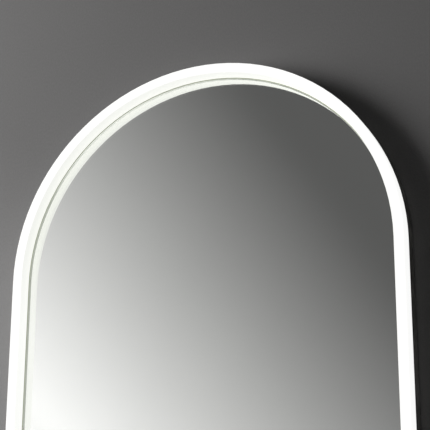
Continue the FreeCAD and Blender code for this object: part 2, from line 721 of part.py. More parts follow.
def driver_board():
    """Circuit board with its transformer, capacitors, coil and terminals soldered on."""
    x, z = DRIVER_CENTRE
    floor_y = Y_PAN_BACK + CASE_WALL
    board_y = floor_y + BOARD_LIFT
    top = board_y + BOARD_T
    foot_dx, foot_dz = BOARD_FEET
    parts = [centred_box((x, z), BOARD_SIZE, board_y, top)]
    for (dx, dz), size, height in BOARD_BLOCKS:
        parts.append(centred_box((x + dx, z + dz), size, top, top + height))
    for (dx, dz), r, height in BOARD_CANS:
        parts.append(peg((x + dx, z + dz), r, top, top + height))
    for dx in (-foot_dx, foot_dx):
        for dz in (-foot_dz, foot_dz):
            parts.append(peg((x + dx, z + dz), BOARD_FOOT_R, floor_y, board_y))
    return fuse(parts)


def terminal_box():
    """Tray where the supply cable is joined to the mirror's leads."""
    x, z = BOX_CENTRE
    dx = BOX_SIZE[0] / 2
    dz = BOX_SIZE[1] / 2
    openings = [
        lead_hole((x - dx, z + BOX_MAINS_DZ), Vector(1, 0, 0), MAINS_LEAD_R),
        lead_hole((x + dx, z + BOX_DEMISTER_DZ), Vector(1, 0, 0), LEAD_R),
        lead_hole((x + BOX_EARTH_DX, z + dz), Vector(0, 0, 1), EARTH_LEAD_R),
    ]
    tray = case_tray(BOX_CENTRE, BOX_SIZE, openings)
    return fuse([tray, *lid_posts(BOX_CENTRE, BOX_SIZE)])


def terminal_box_cover():
    """Lid of the terminal box, with the hole for the supply cable's grommet."""
    hole = peg(MAINS_POINT, MAINS_BORE_R + GROMMET_WALL, CASE_BACK - 4, 0)
    return lid_plate(BOX_CENTRE, BOX_SIZE).cut(hole)


def terminal_points():
    """Place of each pole of the terminal block."""
    x, z = BOX_CENTRE
    return [(x + TERMINAL_DX + i * TERMINAL_PITCH, z) for i in (-1, 0, 1)]


def terminal_screw_points():
    points = []
    for x, z in terminal_points():
        points += [(x, z - TERMINAL_SCREW_DZ), (x, z + TERMINAL_SCREW_DZ)]
    return points


def terminal_block():
    """Three-pole screw terminal block, with wire entries from both sides."""
    x, z = BOX_CENTRE
    floor_y = Y_PAN_BACK + CASE_WALL
    foot_top = floor_y + TERMINAL_FOOT
    towers = [centred_box(p, TOWER_SIZE, foot_top, floor_y + TERMINAL_HEIGHT)
              for p in terminal_points()]
    base = centred_box((x + TERMINAL_DX, z), TERMINAL_SIZE, floor_y, foot_top)
    bores = [peg(p, TERMINAL_SCREW_R + LEAD_HOLE_GAP, floor_y + TERMINAL_SCREW_LIFT, 0)
             for p in terminal_screw_points()]
    bores += [Part.makeCylinder(WIRE_ENTRY_R, 20, Vector(px, floor_y + WIRE_ENTRY_LIFT, pz - 10),
                                Vector(0, 0, 1)) for px, pz in terminal_points()]
    return fuse([base, *towers]).cut(Part.makeCompound(bores)).removeSplitter()


def terminal_screws():
    """Slotted screws of the terminal block."""
    y = Y_PAN_BACK + CASE_WALL + TERMINAL_SCREW_LIFT
    top = y + TERMINAL_SCREW_T
    length, width, depth = TERMINAL_SLOT
    screws = []
    for p in terminal_screw_points():
        slot = centred_box(p, (length, width), top - depth, 0)
        screws.append(peg(p, TERMINAL_SCREW_R, y, top).cut(slot))
    return screws


def grommet(point, bore_r, y0, y1, front, rear):
    """Rubber ring whose groove holds a plate from y0 to y1, with flanges of two thicknesses."""
    foot_r = bore_r + GROMMET_WALL
    flange_r = foot_r + GROMMET_FLANGE
    body = fuse([peg(point, flange_r, y0 - front, y0), peg(point, foot_r, y0, y1),
                 peg(point, flange_r, y1, y1 + rear)])
    return body.cut(peg(point, bore_r, y0 - front - 1, y1 + rear + 1))


def lid_screws(centre, size):
    """The two small screws of a case's lid."""
    return [pan_screw(p, CASE_BACK, CASE_BACK - LID_SCREW_LENGTH, **LID_SCREW)
            for p in lid_screw_points(centre, size)]


# ---- the push switch in the foot of the frame ----
def switch_bezel():
    """Threaded bush whose flange shows under the frame. The button stops on its shoulder."""
    flange = post(BEZEL_R, Z_BOTTOM - BEZEL_T, Z_BOTTOM)
    flange = soften(flange, BEZEL_T / 2, lambda e: lies_at(e, "Z", Z_BOTTOM - BEZEL_T))
    bush = flange.fuse(post(BUSH_R, Z_BOTTOM, BUSH_TOP))
    bush = bush.cut(post(BUTTON_R + RUNNING, Z_BOTTOM - 5, SHOULDER_Z))
    return bush.cut(post(COLLAR_R + RUNNING, SHOULDER_Z, BUSH_TOP + 1)).removeSplitter()


def switch_nut():
    """Six-sided nut on the bush, with two of its flats facing front and back."""
    z0 = Z_BOTTOM + FRAME_WALL + NUT_GAP
    corner = NUT_FLATS / math.sqrt(3)
    corners = []
    for i in range(7):
        a = i * math.pi / 3
        corners.append(Vector(corner * math.cos(a), SWITCH_Y + corner * math.sin(a), z0))
    nut = Part.Face(Part.makePolygon(corners)).extrude(Vector(0, 0, NUT_T))
    return nut.cut(post(BUSH_R + 0.02, z0 - 1, z0 + NUT_T + 1))


def switch_body():
    """Moulded switch that plugs into the bush."""
    body = box(-SWITCH_HALF, SWITCH_HALF, SWITCH_Y - SWITCH_HALF, SWITCH_Y + SWITCH_HALF,
               BUSH_TOP, SWITCH_TOP)
    body = soften(body, SWITCH_CORNER_R, lambda e: runs_along(e, Vector(0, 0, 1)))
    return body.fuse(post(COLLAR_R, PLUG_Z, BUSH_TOP)).removeSplitter()


def button_cap():
    """Push button: a rounded head, a collar that stops on the bush, and a pin."""
    head = post(BUTTON_R, BUTTON_FACE_Z, SHOULDER_Z)
    head = soften(head, BUTTON_EDGE_R, lambda e: lies_at(e, "Z", BUTTON_FACE_Z))
    collar = post(COLLAR_R, SHOULDER_Z, SHOULDER_Z + COLLAR_T)
    pin = post(PIN_R, SHOULDER_Z + COLLAR_T, PLUG_Z - BUTTON_TRAVEL - RUNNING)
    return fuse([head, collar, pin])


def button_spring():
    """Coil spring round the button's pin, between the collar and the switch."""
    z0 = SHOULDER_Z + COLLAR_T + SPRING_WIRE_R
    height = PLUG_Z - SPRING_WIRE_R - z0
    steps = SPRING_TURNS * 4
    points = []
    for i in range(2 * steps + 1):
        a = math.pi * i / 4
        z = z0 + height * i / (2 * steps)
        points.append(Vector(SPRING_R * math.cos(a), SWITCH_Y + SPRING_R * math.sin(a), z))
    arcs = [Part.Arc(*points[2 * i:2 * i + 3]).toShape() for i in range(steps)]
    path = Part.Wire(arcs)
    section = Part.Wire(Part.makeCircle(SPRING_WIRE_R, points[0], Vector(0, 1, 0)))
    return path.makePipeShell([section], True, False)


# ---- leads ----
def lead_routes():
    """Route (points x, y, z) and radius of each lead. The pan's clips hold them all."""
    bx, bz = BOX_CENTRE
    dx, dz = DRIVER_CENTRE
    box_left = bx - BOX_SIZE[0] / 2
    box_right = bx + BOX_SIZE[0] / 2
    box_top = bz + BOX_SIZE[1] / 2
    driver_left = dx - DRIVER_SIZE[0] / 2
    driver_right = dx + DRIVER_SIZE[0] / 2
    driver_foot = dz - DRIVER_SIZE[1] / 2
    gx, gz = PAN_GROMMET_POINT
    ex, ez = EARTH_POINT
    channel_x = END_R - LIGHT_MIDDLE
    y = Y_LEAD
    return {
        "mains_lead": ([
            (box_left + LEAD_INSIDE, y, bz + BOX_MAINS_DZ),
            (MAINS_LEAD_X, y, bz + BOX_MAINS_DZ),
            (MAINS_LEAD_X, y, dz + DRIVER_MAINS_DZ),
            (driver_left + LEAD_INSIDE, y, dz + DRIVER_MAINS_DZ),
        ], MAINS_LEAD_R),
        "led_lead": ([
            (driver_right - LEAD_INSIDE, y, dz + DRIVER_LED_DZ),
            (LED_LEAD_X, y, dz + DRIVER_LED_DZ),
            (LED_LEAD_X, y, LED_ENTRY_Z),
            (channel_x, y, LED_ENTRY_Z),
            (channel_x, Y_LIGHT_BACK - 0.5, LED_ENTRY_Z),
        ], LEAD_R),
        "demister_lead": ([
            (box_right - LEAD_INSIDE, y, bz + BOX_DEMISTER_DZ),
            (gx, y, bz + BOX_DEMISTER_DZ),
            (gx, y, gz),
            (gx, Y_PAN, gz),
        ], LEAD_R),
        "switch_lead": ([
            (0, y, SWITCH_TOP),
            (0, y, SWITCH_LEAD_Z),
            (dx + DRIVER_SWITCH_DX, y, SWITCH_LEAD_Z),
            (dx + DRIVER_SWITCH_DX, y, driver_foot + LEAD_INSIDE),
        ], SWITCH_LEAD_R),
        "earth_lead": ([
            (bx + BOX_EARTH_DX, y, box_top - LEAD_INSIDE),
            (bx + BOX_EARTH_DX, y, ez),
            (ex + TAG_BARREL_X, y, ez),
        ], EARTH_LEAD_R),
    }


def clip_places():
    """Where a lead is clipped to the pan: point, lead radius, and whether it runs along Z."""
    places = [
        ((MAINS_LEAD_X, 86.0), MAINS_LEAD_R, True),
        ((LED_LEAD_X, -16.0), LEAD_R, True),
        ((190.0, LED_ENTRY_Z), LEAD_R, False),
        ((255.0, LED_ENTRY_Z), LEAD_R, False),
        ((PAN_GROMMET_POINT[0], 202.0), LEAD_R, True),
    ]
    places += [((0.0, z), SWITCH_LEAD_R, True) for z in (-545.0, -440.0, -340.0, -240.0, -140.0)]
    return places


def cable_clip(point, r, along_z):
    """Adhesive saddle: a foot on the pan and a hoop round the lead."""
    x, z = point
    hoop_r = r + CLIP_WALL
    foot = CLIP_FOOT if along_z else CLIP_FOOT[::-1]
    base = centred_box(point, foot, Y_PAN_BACK, Y_PAN_BACK + CLIP_FOOT_T)
    stem = (2 * hoop_r, CLIP_LENGTH) if along_z else (CLIP_LENGTH, 2 * hoop_r)
    tower = centred_box(point, stem, Y_PAN_BACK + CLIP_FOOT_T, Y_LEAD)
    direction = Vector(0, 0, 1) if along_z else Vector(1, 0, 0)
    start = Vector(x, Y_LEAD, z) - direction * (CLIP_LENGTH / 2)
    hoop = Part.makeCylinder(hoop_r, CLIP_LENGTH, start, direction)
    clip = fuse([base, tower, hoop])
    return clip.cut(Part.makeCylinder(r + 0.05, 20, start - direction * 6, direction))


def earth_tag():
    """Ring tag crimped on the earth lead, under its screw."""
    x, z = EARTH_POINT
    start_x = x + TAG_BARREL_X
    tag_top = Y_PAN_BACK + TAG_T
    eye = peg(EARTH_POINT, TAG_R, Y_PAN_BACK, tag_top)
    tongue = box(x, start_x + 2, Y_PAN_BACK, tag_top, z - TAG_HALF, z + TAG_HALF)
    neck = box(start_x, start_x + 2, Y_PAN_BACK, Y_LEAD, z - TAG_HALF, z + TAG_HALF)
    mouth = Vector(start_x, Y_LEAD, z)
    along = Vector(1, 0, 0)
    barrel = Part.makeCylinder(EARTH_LEAD_R + TAG_BARREL_WALL, TAG_BARREL_LENGTH, mouth, along)
    tag = fuse([eye, tongue, neck, barrel])
    bore = Part.makeCylinder(EARTH_LEAD_R + M4_CLOSE, TAG_BARREL_LENGTH + 4, mouth, along)
    return tag.cut(bore).cut(peg(EARTH_POINT, M4_R + M4_CLOSE, Y_PAN_BACK - 1, 0))


# ---- build ----
def main():
    os.makedirs("parts", exist_ok=True)

    save("light_diffuser", light_diffuser())
    save("led_strip", led_strip())
    save_group("led_chips", led_chips())

    upper, lower = frame_halves()
    save("upper_frame", upper)
    save("lower_frame", lower)
    plates, grubs = joint_plates()
    save_group("frame_joint_plates", plates)
    save_group("joint_grub_screws", grubs)

    save("mirror_glass", mirror_glass())
    save("silver_layer", silver_layer())
    save("glass_seal", glass_seal())
    save("safety_film", safety_film())
    save_group("glass_tapes", glass_tapes())
    save("demister_pad", demister_pad())
    save("back_pan", back_pan())
    save_group("pan_screws", [pan_screw(p, Y_FLANGE_BACK, Y_PAN)
                              for p in spread(SCREW_COUNT, SCREW_INSET)])

    save("wall_rail", wall_rail())
    save("hanger_rail", hanger_rail())
    save_group("hanger_rivets", hanger_rivets())
    save_group("wall_bumpers", [bumper(p) for p in BUMPER_POINTS])
    save_group("bumper_screws", [pan_screw(p, BUMPER_SEAT_Y, Y_PAN) for p in BUMPER_POINTS])

    save("driver_case", driver_case())
    save("driver_lid", driver_lid())
    save("driver_board", driver_board())
    save("terminal_box", terminal_box())
    save("terminal_box_cover", terminal_box_cover())
    save("terminal_block", terminal_block())
    save_group("terminal_screws", terminal_screws())
    ears = ear_points(DRIVER_CENTRE, DRIVER_SIZE) + ear_points(BOX_CENTRE, BOX_SIZE)
    save_group("case_screws", [pan_screw(p, Y_PAN_BACK + EAR_T, Y_PAN) for p in ears])
    save_group("lid_screws", lid_screws(DRIVER_CENTRE, DRIVER_SIZE)
               + lid_screws(BOX_CENTRE, BOX_SIZE))
    save("mains_grommet", grommet(MAINS_POINT, MAINS_BORE_R, CASE_BACK - CASE_WALL, CASE_BACK,
                                  GROMMET_FLANGE_T, GROMMET_FLANGE_T))
    save("pan_grommet", grommet(PAN_GROMMET_POINT, LEAD_R, Y_PAN, Y_PAN_BACK,
                                GROMMET_THIN_T, GROMMET_FLANGE_T))

    save("switch_bezel", switch_bezel())
    save("switch_nut", switch_nut())
    save("switch_body", switch_body())
    save("button_cap", button_cap())
    save("button_spring", button_spring())

    for name, (points, r) in lead_routes().items():
        save(name, tube(points, r))
    save_group("cable_clips", [cable_clip(*place) for place in clip_places()])
    save("earth_tag", earth_tag())
    save("earth_screw", pan_screw(EARTH_POINT, Y_PAN_BACK + TAG_T, Y_PAN))


main()
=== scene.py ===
import json
import logging
import math
from collections.abc import Callable, Iterator
from contextlib import contextmanager
from dataclasses import dataclass
from enum import Enum

import bmesh
import bpy
from mathutils import Matrix, Quaternion, Vector


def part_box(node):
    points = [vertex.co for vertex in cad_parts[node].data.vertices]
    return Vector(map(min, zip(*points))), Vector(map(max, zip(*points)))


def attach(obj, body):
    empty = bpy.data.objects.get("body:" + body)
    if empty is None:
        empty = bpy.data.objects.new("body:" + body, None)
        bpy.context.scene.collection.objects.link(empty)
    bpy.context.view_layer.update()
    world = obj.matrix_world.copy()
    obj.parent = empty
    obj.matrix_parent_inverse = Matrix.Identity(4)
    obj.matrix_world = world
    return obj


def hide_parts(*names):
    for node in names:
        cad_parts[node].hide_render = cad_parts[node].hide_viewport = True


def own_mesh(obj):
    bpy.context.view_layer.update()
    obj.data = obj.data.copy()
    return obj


# Looks of the lighted bathroom mirror: the finish of every surface, its glass, the boots of its
# leads, the spring of its button, and the plain studio that it is seen in. Metres, in the frame
# of the model: +X to the right, +Z up, the mirror faces -Y, and the wall is the plane y = 0.

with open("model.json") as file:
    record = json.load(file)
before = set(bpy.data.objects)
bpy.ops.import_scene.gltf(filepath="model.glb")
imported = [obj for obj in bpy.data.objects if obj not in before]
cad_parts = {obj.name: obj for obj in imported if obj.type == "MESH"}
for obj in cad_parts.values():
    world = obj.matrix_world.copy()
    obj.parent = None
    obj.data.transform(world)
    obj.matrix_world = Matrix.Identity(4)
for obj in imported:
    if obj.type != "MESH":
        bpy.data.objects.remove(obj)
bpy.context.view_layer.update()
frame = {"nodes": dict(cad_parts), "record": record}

LOG = logging.getLogger("bathroom_mirror")
MM = 0.001
SAME_PLACE = 0.001 * MM

Color = Point = tuple[float, float, float]
Pair = tuple[float, float]
Piece = bpy.types.Object
Outputs = bpy.types.NodeOutputs
Socket = bpy.types.NodeSocket

LEFT, RIGHT = Vector((-1.0, 0.0, 0.0)), Vector((1.0, 0.0, 0.0))
DOWN, UP = Vector((0.0, 0.0, -1.0)), Vector((0.0, 0.0, 1.0))
FRONT = Vector((0.0, -1.0, 0.0))


@dataclass(frozen=True)
class Outline:
    """The mirror's outline seen from the front: a capsule that stands upright.

    Attributes:
        centre: its middle, on the wall.
        radius: radius of its two round ends.
        half: half the length of its straight sides.
    """

    centre: Vector
    radius: float
    half: float

    @classmethod
    def of_node(cls, node: str) -> "Outline":
        """Outline of a node of the model, from the node's box.

        Args:
            node: name of the node.

        Returns:
            The outline.
        """
        low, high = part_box(node)
        radius = (high.x - low.x) / 2
        middle = Vector(((low.x + high.x) / 2, 0.0, (low.z + high.z) / 2))
        return cls(middle, radius, (high.z - low.z) / 2 - radius)


OUTLINE = Outline.of_node("light_diffuser")


# ---------------------------------------------------------------- shader graphs
class Graph:
    """Short calls to add and join the nodes of a material, a world or a group."""

    def __init__(self, tree: bpy.types.NodeTree) -> None:
        """Empty a node tree and start on it."""
        self.tree = tree
        tree.nodes.clear()

    def node(self, kind: str, inputs: dict | None = None, **settings: object) -> bpy.types.Node:
        """Add a node.

        Args:
            kind: Blender's name for the node's type.
            inputs: socket name or index to a constant or to another node's output.
            settings: properties of the node.

        Returns:
            The new node.
        """
        made = self.tree.nodes.new(kind)
        for key, value in settings.items():
            setattr(made, key, value)
        for key, value in (inputs or {}).items():
            if isinstance(value, Socket):
                self.tree.links.new(value, made.inputs[key])
            else:
                made.inputs[key].default_value = value
        return made

    def join(self, source: Socket, target: Socket) -> None:
        """Link two sockets."""
        self.tree.links.new(source, target)

    def calc(self, operation: str, a: object, b: object = 0.0, c: object = 0.0) -> Socket:
        """One step of arithmetic of the Math node, on sockets or numbers."""
        return self.node("ShaderNodeMath", {0: a, 1: b, 2: c}, operation=operation).outputs[0]

    def axes(self, vector: Socket) -> Outputs:
        """X, Y and Z of a vector."""
        return self.node("ShaderNodeSeparateXYZ", {"Vector": vector}).outputs

    def dot(self, vector: Socket, axis: Vector) -> Socket:
        """Length of a vector along an axis."""
        made = self.node("ShaderNodeVectorMath", {0: vector, 1: tuple(axis)}, operation="DOT_PRODUCT")
        return made.outputs["Value"]

    def span(self, value: Socket, low: float, high: float, to_low: float = 0.0,
             to_high: float = 1.0, smooth: bool = True) -> Socket:
        """Map a value from one range to another, held at both ends.

        Args:
            value: what is mapped.
            low: value that gives to_low.
            high: value that gives to_high.
            to_low: result at low.
            to_high: result at high.
            smooth: ease in and out instead of a straight line.

        Returns:
            The mapped value.
        """
        kind = "SMOOTHSTEP" if smooth else "LINEAR"
        made = self.node("ShaderNodeMapRange", {
            "Value": value, "From Min": low, "From Max": high,
            "To Min": to_low, "To Max": to_high,
        }, interpolation_type=kind)
        return made.outputs["Result"]

    def blend(self, factor: object, a: object, b: object, mode: str = "MIX") -> Socket:
        """Mix two colours.

        Args:
            factor: share of the second colour.
            a: first colour, a socket or three numbers.
            b: second colour.
            mode: blend mode of the Mix node.

        Returns:
            The mixed colour.
        """
        sides = [value if isinstance(value, Socket) else (*value, 1.0) for value in (a, b)]
        inputs = {0: factor, 6: sides[0], 7: sides[1]}
        return self.node("ShaderNodeMix", inputs, data_type="RGBA", blend_type=mode).outputs[2]

    def darken(self, tone: object, mask: Socket, share: float, dark: Color) -> Socket:
        """Tone in which up to a share of a darker colour shows where a mask is high."""
        return self.blend(self.calc("MULTIPLY", mask, share), tone, dark)

    def vary(self, mask: Socket, middle: float, spread: float) -> Socket:
        """Value that a mask moves about its middle, over a spread in all."""
        return self.calc("MULTIPLY_ADD", mask, spread, middle - spread / 2)

    def grey(self, level: Socket) -> Socket:
        """Neutral colour of a level."""
        made = self.node("ShaderNodeCombineColor", {"Red": level, "Green": level, "Blue": level})
        return made.outputs["Color"]

    def place(self) -> Socket:
        """Place in the model's frame."""
        return self.node("ShaderNodeTexCoord").outputs["Object"]

    def reach(self, place: Socket) -> Socket:
        """Distance from the middle line of the mirror's outline, seen from the front.

        Args:
            place: place in the model's frame.

        Returns:
            The distance.
        """
        axes = self.axes(place)
        along = self.calc("ABSOLUTE", self.calc("SUBTRACT", axes["Z"], OUTLINE.centre.z))
        beyond = self.calc("MAXIMUM", self.calc("SUBTRACT", along, OUTLINE.half), 0.0)
        squares = self.calc("ADD", self.calc("MULTIPLY", axes["X"], axes["X"]),
                            self.calc("MULTIPLY", beyond, beyond))
        return self.calc("SQRT", squares)

    def bump(self, height: Socket, distance: float, strength: float = 1.0) -> Socket:
        """Normal of a relief, from its height of 0 to 1 and its depth."""
        inputs = {"Height": height, "Distance": distance, "Strength": strength}
        return self.node("ShaderNodeBump", inputs).outputs["Normal"]

    def mirrored(self, path: Outputs) -> Socket:
        """One for a ray that a mirror or glass sends on, from the outputs of Light Path."""
        return self.calc("MAXIMUM", path["Is Glossy Ray"], path["Is Transmission Ray"])

    def choose(self, factor: Socket, a: Socket, b: Socket) -> Socket:
        """Mix two shaders, where the factor is the share of the second."""
        return self.node("ShaderNodeMixShader", {0: factor, 1: a, 2: b}).outputs["Shader"]

    def show(self, shader: Socket, output: str = "ShaderNodeOutputMaterial") -> None:
        """Join a shader to the output of the material or the world."""
        self.join(shader, self.node(output).inputs["Surface"])

    def principled(self, inputs: dict) -> None:
        """Add the Principled surface shader and join it to the output."""
        self.show(self.node("ShaderNodeBsdfPrincipled", inputs).outputs["BSDF"])


BLACK: Color = (0.0, 0.0, 0.0)
WHITE: Color = (1.0, 1.0, 1.0)


def shade(color: Color, factor: float) -> Color:
    """A colour made darker or lighter, held between 0 and 1."""
    return tuple(min(1.0, channel * factor) for channel in color)


def either_side(color: Color, change: float) -> tuple[Color, Color]:
    """A colour made darker and the same made lighter, by a share of it."""
    return shade(color, 1 - change), shade(color, 1 + change)


class Group:
    """A shader node group that several finishes share."""

    def __init__(self, name: str, inputs: dict[str, str], outputs: dict[str, str]) -> None:
        """Make the group and its sockets.

        Args:
            name: name of the group.
            inputs: socket names and types.
            outputs: socket names and types.
        """
        self.tree = bpy.data.node_groups.new(name, "ShaderNodeTree")
        for label, kind in inputs.items():
            self.tree.interface.new_socket(label, in_out="INPUT", socket_type=kind)
        for label, kind in outputs.items():
            self.tree.interface.new_socket(label, in_out="OUTPUT", socket_type=kind)
        self.graph = Graph(self.tree)
        self.source = self.graph.node("NodeGroupInput").outputs
        self.result = self.graph.node("NodeGroupOutput").inputs

    def add_to(self, graph: Graph, inputs: dict) -> Outputs:
        """Place the group in a material's graph, and give its outputs there."""
        return graph.node("ShaderNodeGroup", inputs, node_tree=self.tree).outputs


FLOAT, VECTOR = "NodeSocketFloat", "NodeSocketVector"

# Values between which most of a noise pattern lies, and a closer pair for more contrast.
MOST_NOISE, CLOSE_NOISE = (0.3, 0.7), (0.35, 0.65)


def make_handled() -> Group:
    """Uneven wear of a surface: wide soft patches, fine specks and the height of the specks.

    Returns:
        The group.
    """
    group = Group("handled_surface", {"Place": VECTOR, "Patch Scale": FLOAT, "Speck Scale": FLOAT},
                  {"Patches": FLOAT, "Specks": FLOAT, "Height": FLOAT})
    g, source = group.graph, group.source
    patches = g.node("ShaderNodeTexNoise", {
        "Vector": source["Place"], "Scale": source["Patch Scale"], "Detail": 3.0})
    specks = g.node("ShaderNodeTexNoise", {
        "Vector": source["Place"], "Scale": source["Speck Scale"], "Detail": 2.0})
    g.join(g.span(patches.outputs["Fac"], *MOST_NOISE), group.result["Patches"])
    g.join(g.span(specks.outputs["Fac"], *MOST_NOISE), group.result["Specks"])
    g.join(specks.outputs["Fac"], group.result["Height"])
    return group


def make_drawn() -> Group:
    """Fine parallel lines of drawn or brushed metal.

    Returns:
        The group.
    """
    group = Group("drawn_lines", {"Place": VECTOR, "Stretch": VECTOR}, {"Lines": FLOAT})
    g, source = group.graph, group.source
    stretched = g.node("ShaderNodeVectorMath", {0: source["Place"], 1: source["Stretch"]},
                       operation="MULTIPLY")
    lines = g.node("ShaderNodeTexNoise", {
        "Vector": stretched.outputs["Vector"], "Scale": 1.0, "Detail": 4.0, "Roughness": 0.65})
    g.join(lines.outputs["Fac"], group.result["Lines"])
    return group


def make_spangle(wobble: float = 6 * MM, border: float = 0.06) -> Group:
    """Crystals of zinc on galvanised sheet.

    Args:
        wobble: how far the borders wander.
        border: width of a border, as a share of a crystal.

    Returns:
        The group.
    """
    group = Group("zinc_spangle", {"Place": VECTOR, "Scale": FLOAT},
                  {"Crystals": FLOAT, "Borders": FLOAT})
    g, source = group.graph, group.source
    noise = g.node("ShaderNodeTexNoise", {"Vector": source["Place"], "Scale": 60.0, "Detail": 2.0})
    shifted = g.node("ShaderNodeVectorMath", {
        0: noise.outputs["Color"], 1: (wobble,) * 3, 2: source["Place"],
    }, operation="MULTIPLY_ADD")
    layout = {"Vector": shifted.outputs["Vector"], "Scale": source["Scale"], "Randomness": 1.0}
    cells = g.node("ShaderNodeTexVoronoi", layout)
    edges = g.node("ShaderNodeTexVoronoi", layout, feature="DISTANCE_TO_EDGE")
    tone = g.node("ShaderNodeSeparateColor", {"Color": cells.outputs["Color"]})
    g.join(tone.outputs["Red"], group.result["Crystals"])
    g.join(g.span(edges.outputs["Distance"], 0.0, border, 1.0, 0.0), group.result["Borders"])
    return group


HANDLED = make_handled()
DRAWN = make_drawn()
SPANGLE = make_spangle()


def handled(g: Graph, patches: float, specks: float) -> Outputs:
    """Marks of handling on a surface: soft patches and fine specks, so many to a metre."""
    return HANDLED.add_to(g, {"Place": g.place(), "Patch Scale": patches, "Speck Scale": specks})


# ---------------------------------------------------------------- finishes
FINE_RELIEF = 0.01 * MM
SPECK_ROUGHNESS = 0.06


@dataclass(frozen=True)
class Finish:
    """A finish of the object or of the studio.

    Attributes:
        name: name of the material, which on the object is that of its slot.
    """

    name: str

    def build(self) -> bpy.types.Material:
        """Make the material.

        Returns:
            The finished material.
        """
        material = bpy.data.materials.new(self.name)
        material.use_nodes = True
        self.draw(Graph(material.node_tree))
        return material

    def draw(self, g: Graph) -> None:
        """Fill the material's graph, which each finish does in its own way."""
        raise NotImplementedError


class Lines(Enum):
    """Direction of the drawing or brushing lines of a metal, as a stretch of the pattern."""

    ALONG_X = (30.0, 2600.0, 2600.0)
    ALONG_Z = (2600.0, 2600.0, 30.0)
    NONE = (900.0, 900.0, 900.0)


@dataclass(frozen=True)
class Metal(Finish):
    """Bare, plated or anodised metal.

    Attributes:
        color: base colour.
        roughness: mean roughness.
        lines: direction of its drawing lines.
        depth: height of the lines.
        uneven: how far patches change the colour.
        streaks: tone between the lines and on them.
        spread: how far patches change the roughness.
    """

    color: Color
    roughness: float
    lines: Lines = Lines.NONE
    depth: float = 0.004 * MM
    uneven: float = 0.12
    streaks: Pair = (0.90, 1.08)
    spread: float = 0.10

    def draw(self, g: Graph) -> None:
        """Fill the material's graph.

        Args:
            g: the graph.
        """
        marks = handled(g, patches=24.0, specks=900.0)
        lines = DRAWN.add_to(g, {"Place": g.place(), "Stretch": self.lines.value})["Lines"]
        tone = g.blend(marks["Patches"], *either_side(self.color, self.uneven))
        tone = g.blend(1.0, tone, g.grey(g.span(lines, *CLOSE_NOISE, *self.streaks)), "MULTIPLY")
        rough = g.vary(marks["Patches"], self.roughness, self.spread)
        rough = g.calc("MULTIPLY_ADD", marks["Specks"], SPECK_ROUGHNESS, rough)
        g.principled({
            "Base Color": tone, "Metallic": 1.0, "Roughness": rough,
            "Normal": g.bump(lines, self.depth),
        })


@dataclass(frozen=True)
class GalvanisedSheet(Finish):
    """Zinc-coated sheet steel with its crystal pattern.

    Attributes:
        color: mean colour of the zinc.
        roughness: mean roughness.
        crystals: tone of the darkest and of the lightest crystal.
        spread: how far the crystals differ in roughness.
    """

    color: Color
    roughness: float = 0.44
    crystals: Pair = (0.90, 1.06)
    spread: float = 0.16

    def draw(self, g: Graph) -> None:
        """Fill the material's graph.

        Args:
            g: the graph.
        """
        marks = handled(g, patches=9.0, specks=700.0)
        zinc = SPANGLE.add_to(g, {"Place": g.place(), "Scale": 130.0})
        tone = g.blend(zinc["Crystals"], *(shade(self.color, level) for level in self.crystals))
        tone = g.darken(tone, zinc["Borders"], share=0.25, dark=shade(self.color, 0.75))
        tone = g.darken(tone, marks["Patches"], share=0.22, dark=shade(self.color, 0.78))
        rough = g.vary(zinc["Crystals"], self.roughness, self.spread)
        rough = g.calc("MULTIPLY_ADD", marks["Specks"], SPECK_ROUGHNESS, rough)
        g.principled({
            "Base Color": tone, "Metallic": 0.85, "Roughness": rough,
            "Normal": g.bump(marks["Height"], FINE_RELIEF),
        })


@dataclass(frozen=True)
class Moulded(Finish):
    """Moulded plastic, rubber, foam or film with a fine grain.

    Attributes:
        color: base colour.
        roughness: mean roughness.
        grain: specks to a metre.
        depth: height of the grain.
        uneven: how far patches change the colour.
        spread: how far patches change the roughness.
    """

    color: Color
    roughness: float
    grain: float = 1500.0
    depth: float = 0.03 * MM
    uneven: float = 0.06
    spread: float = 0.08

    def draw(self, g: Graph) -> None:
        """Fill the material's graph.

        Args:
            g: the graph.
        """
        marks = handled(g, patches=30.0, specks=self.grain)
        tone = g.blend(marks["Patches"], *either_side(self.color, self.uneven))
        tone = g.darken(tone, marks["Specks"], share=0.25, dark=shade(self.color, 0.82))
        rough = g.vary(marks["Patches"], self.roughness, self.spread)
        g.principled({
            "Base Color": tone, "Roughness": rough, "Normal": g.bump(marks["Height"], self.depth),
        })


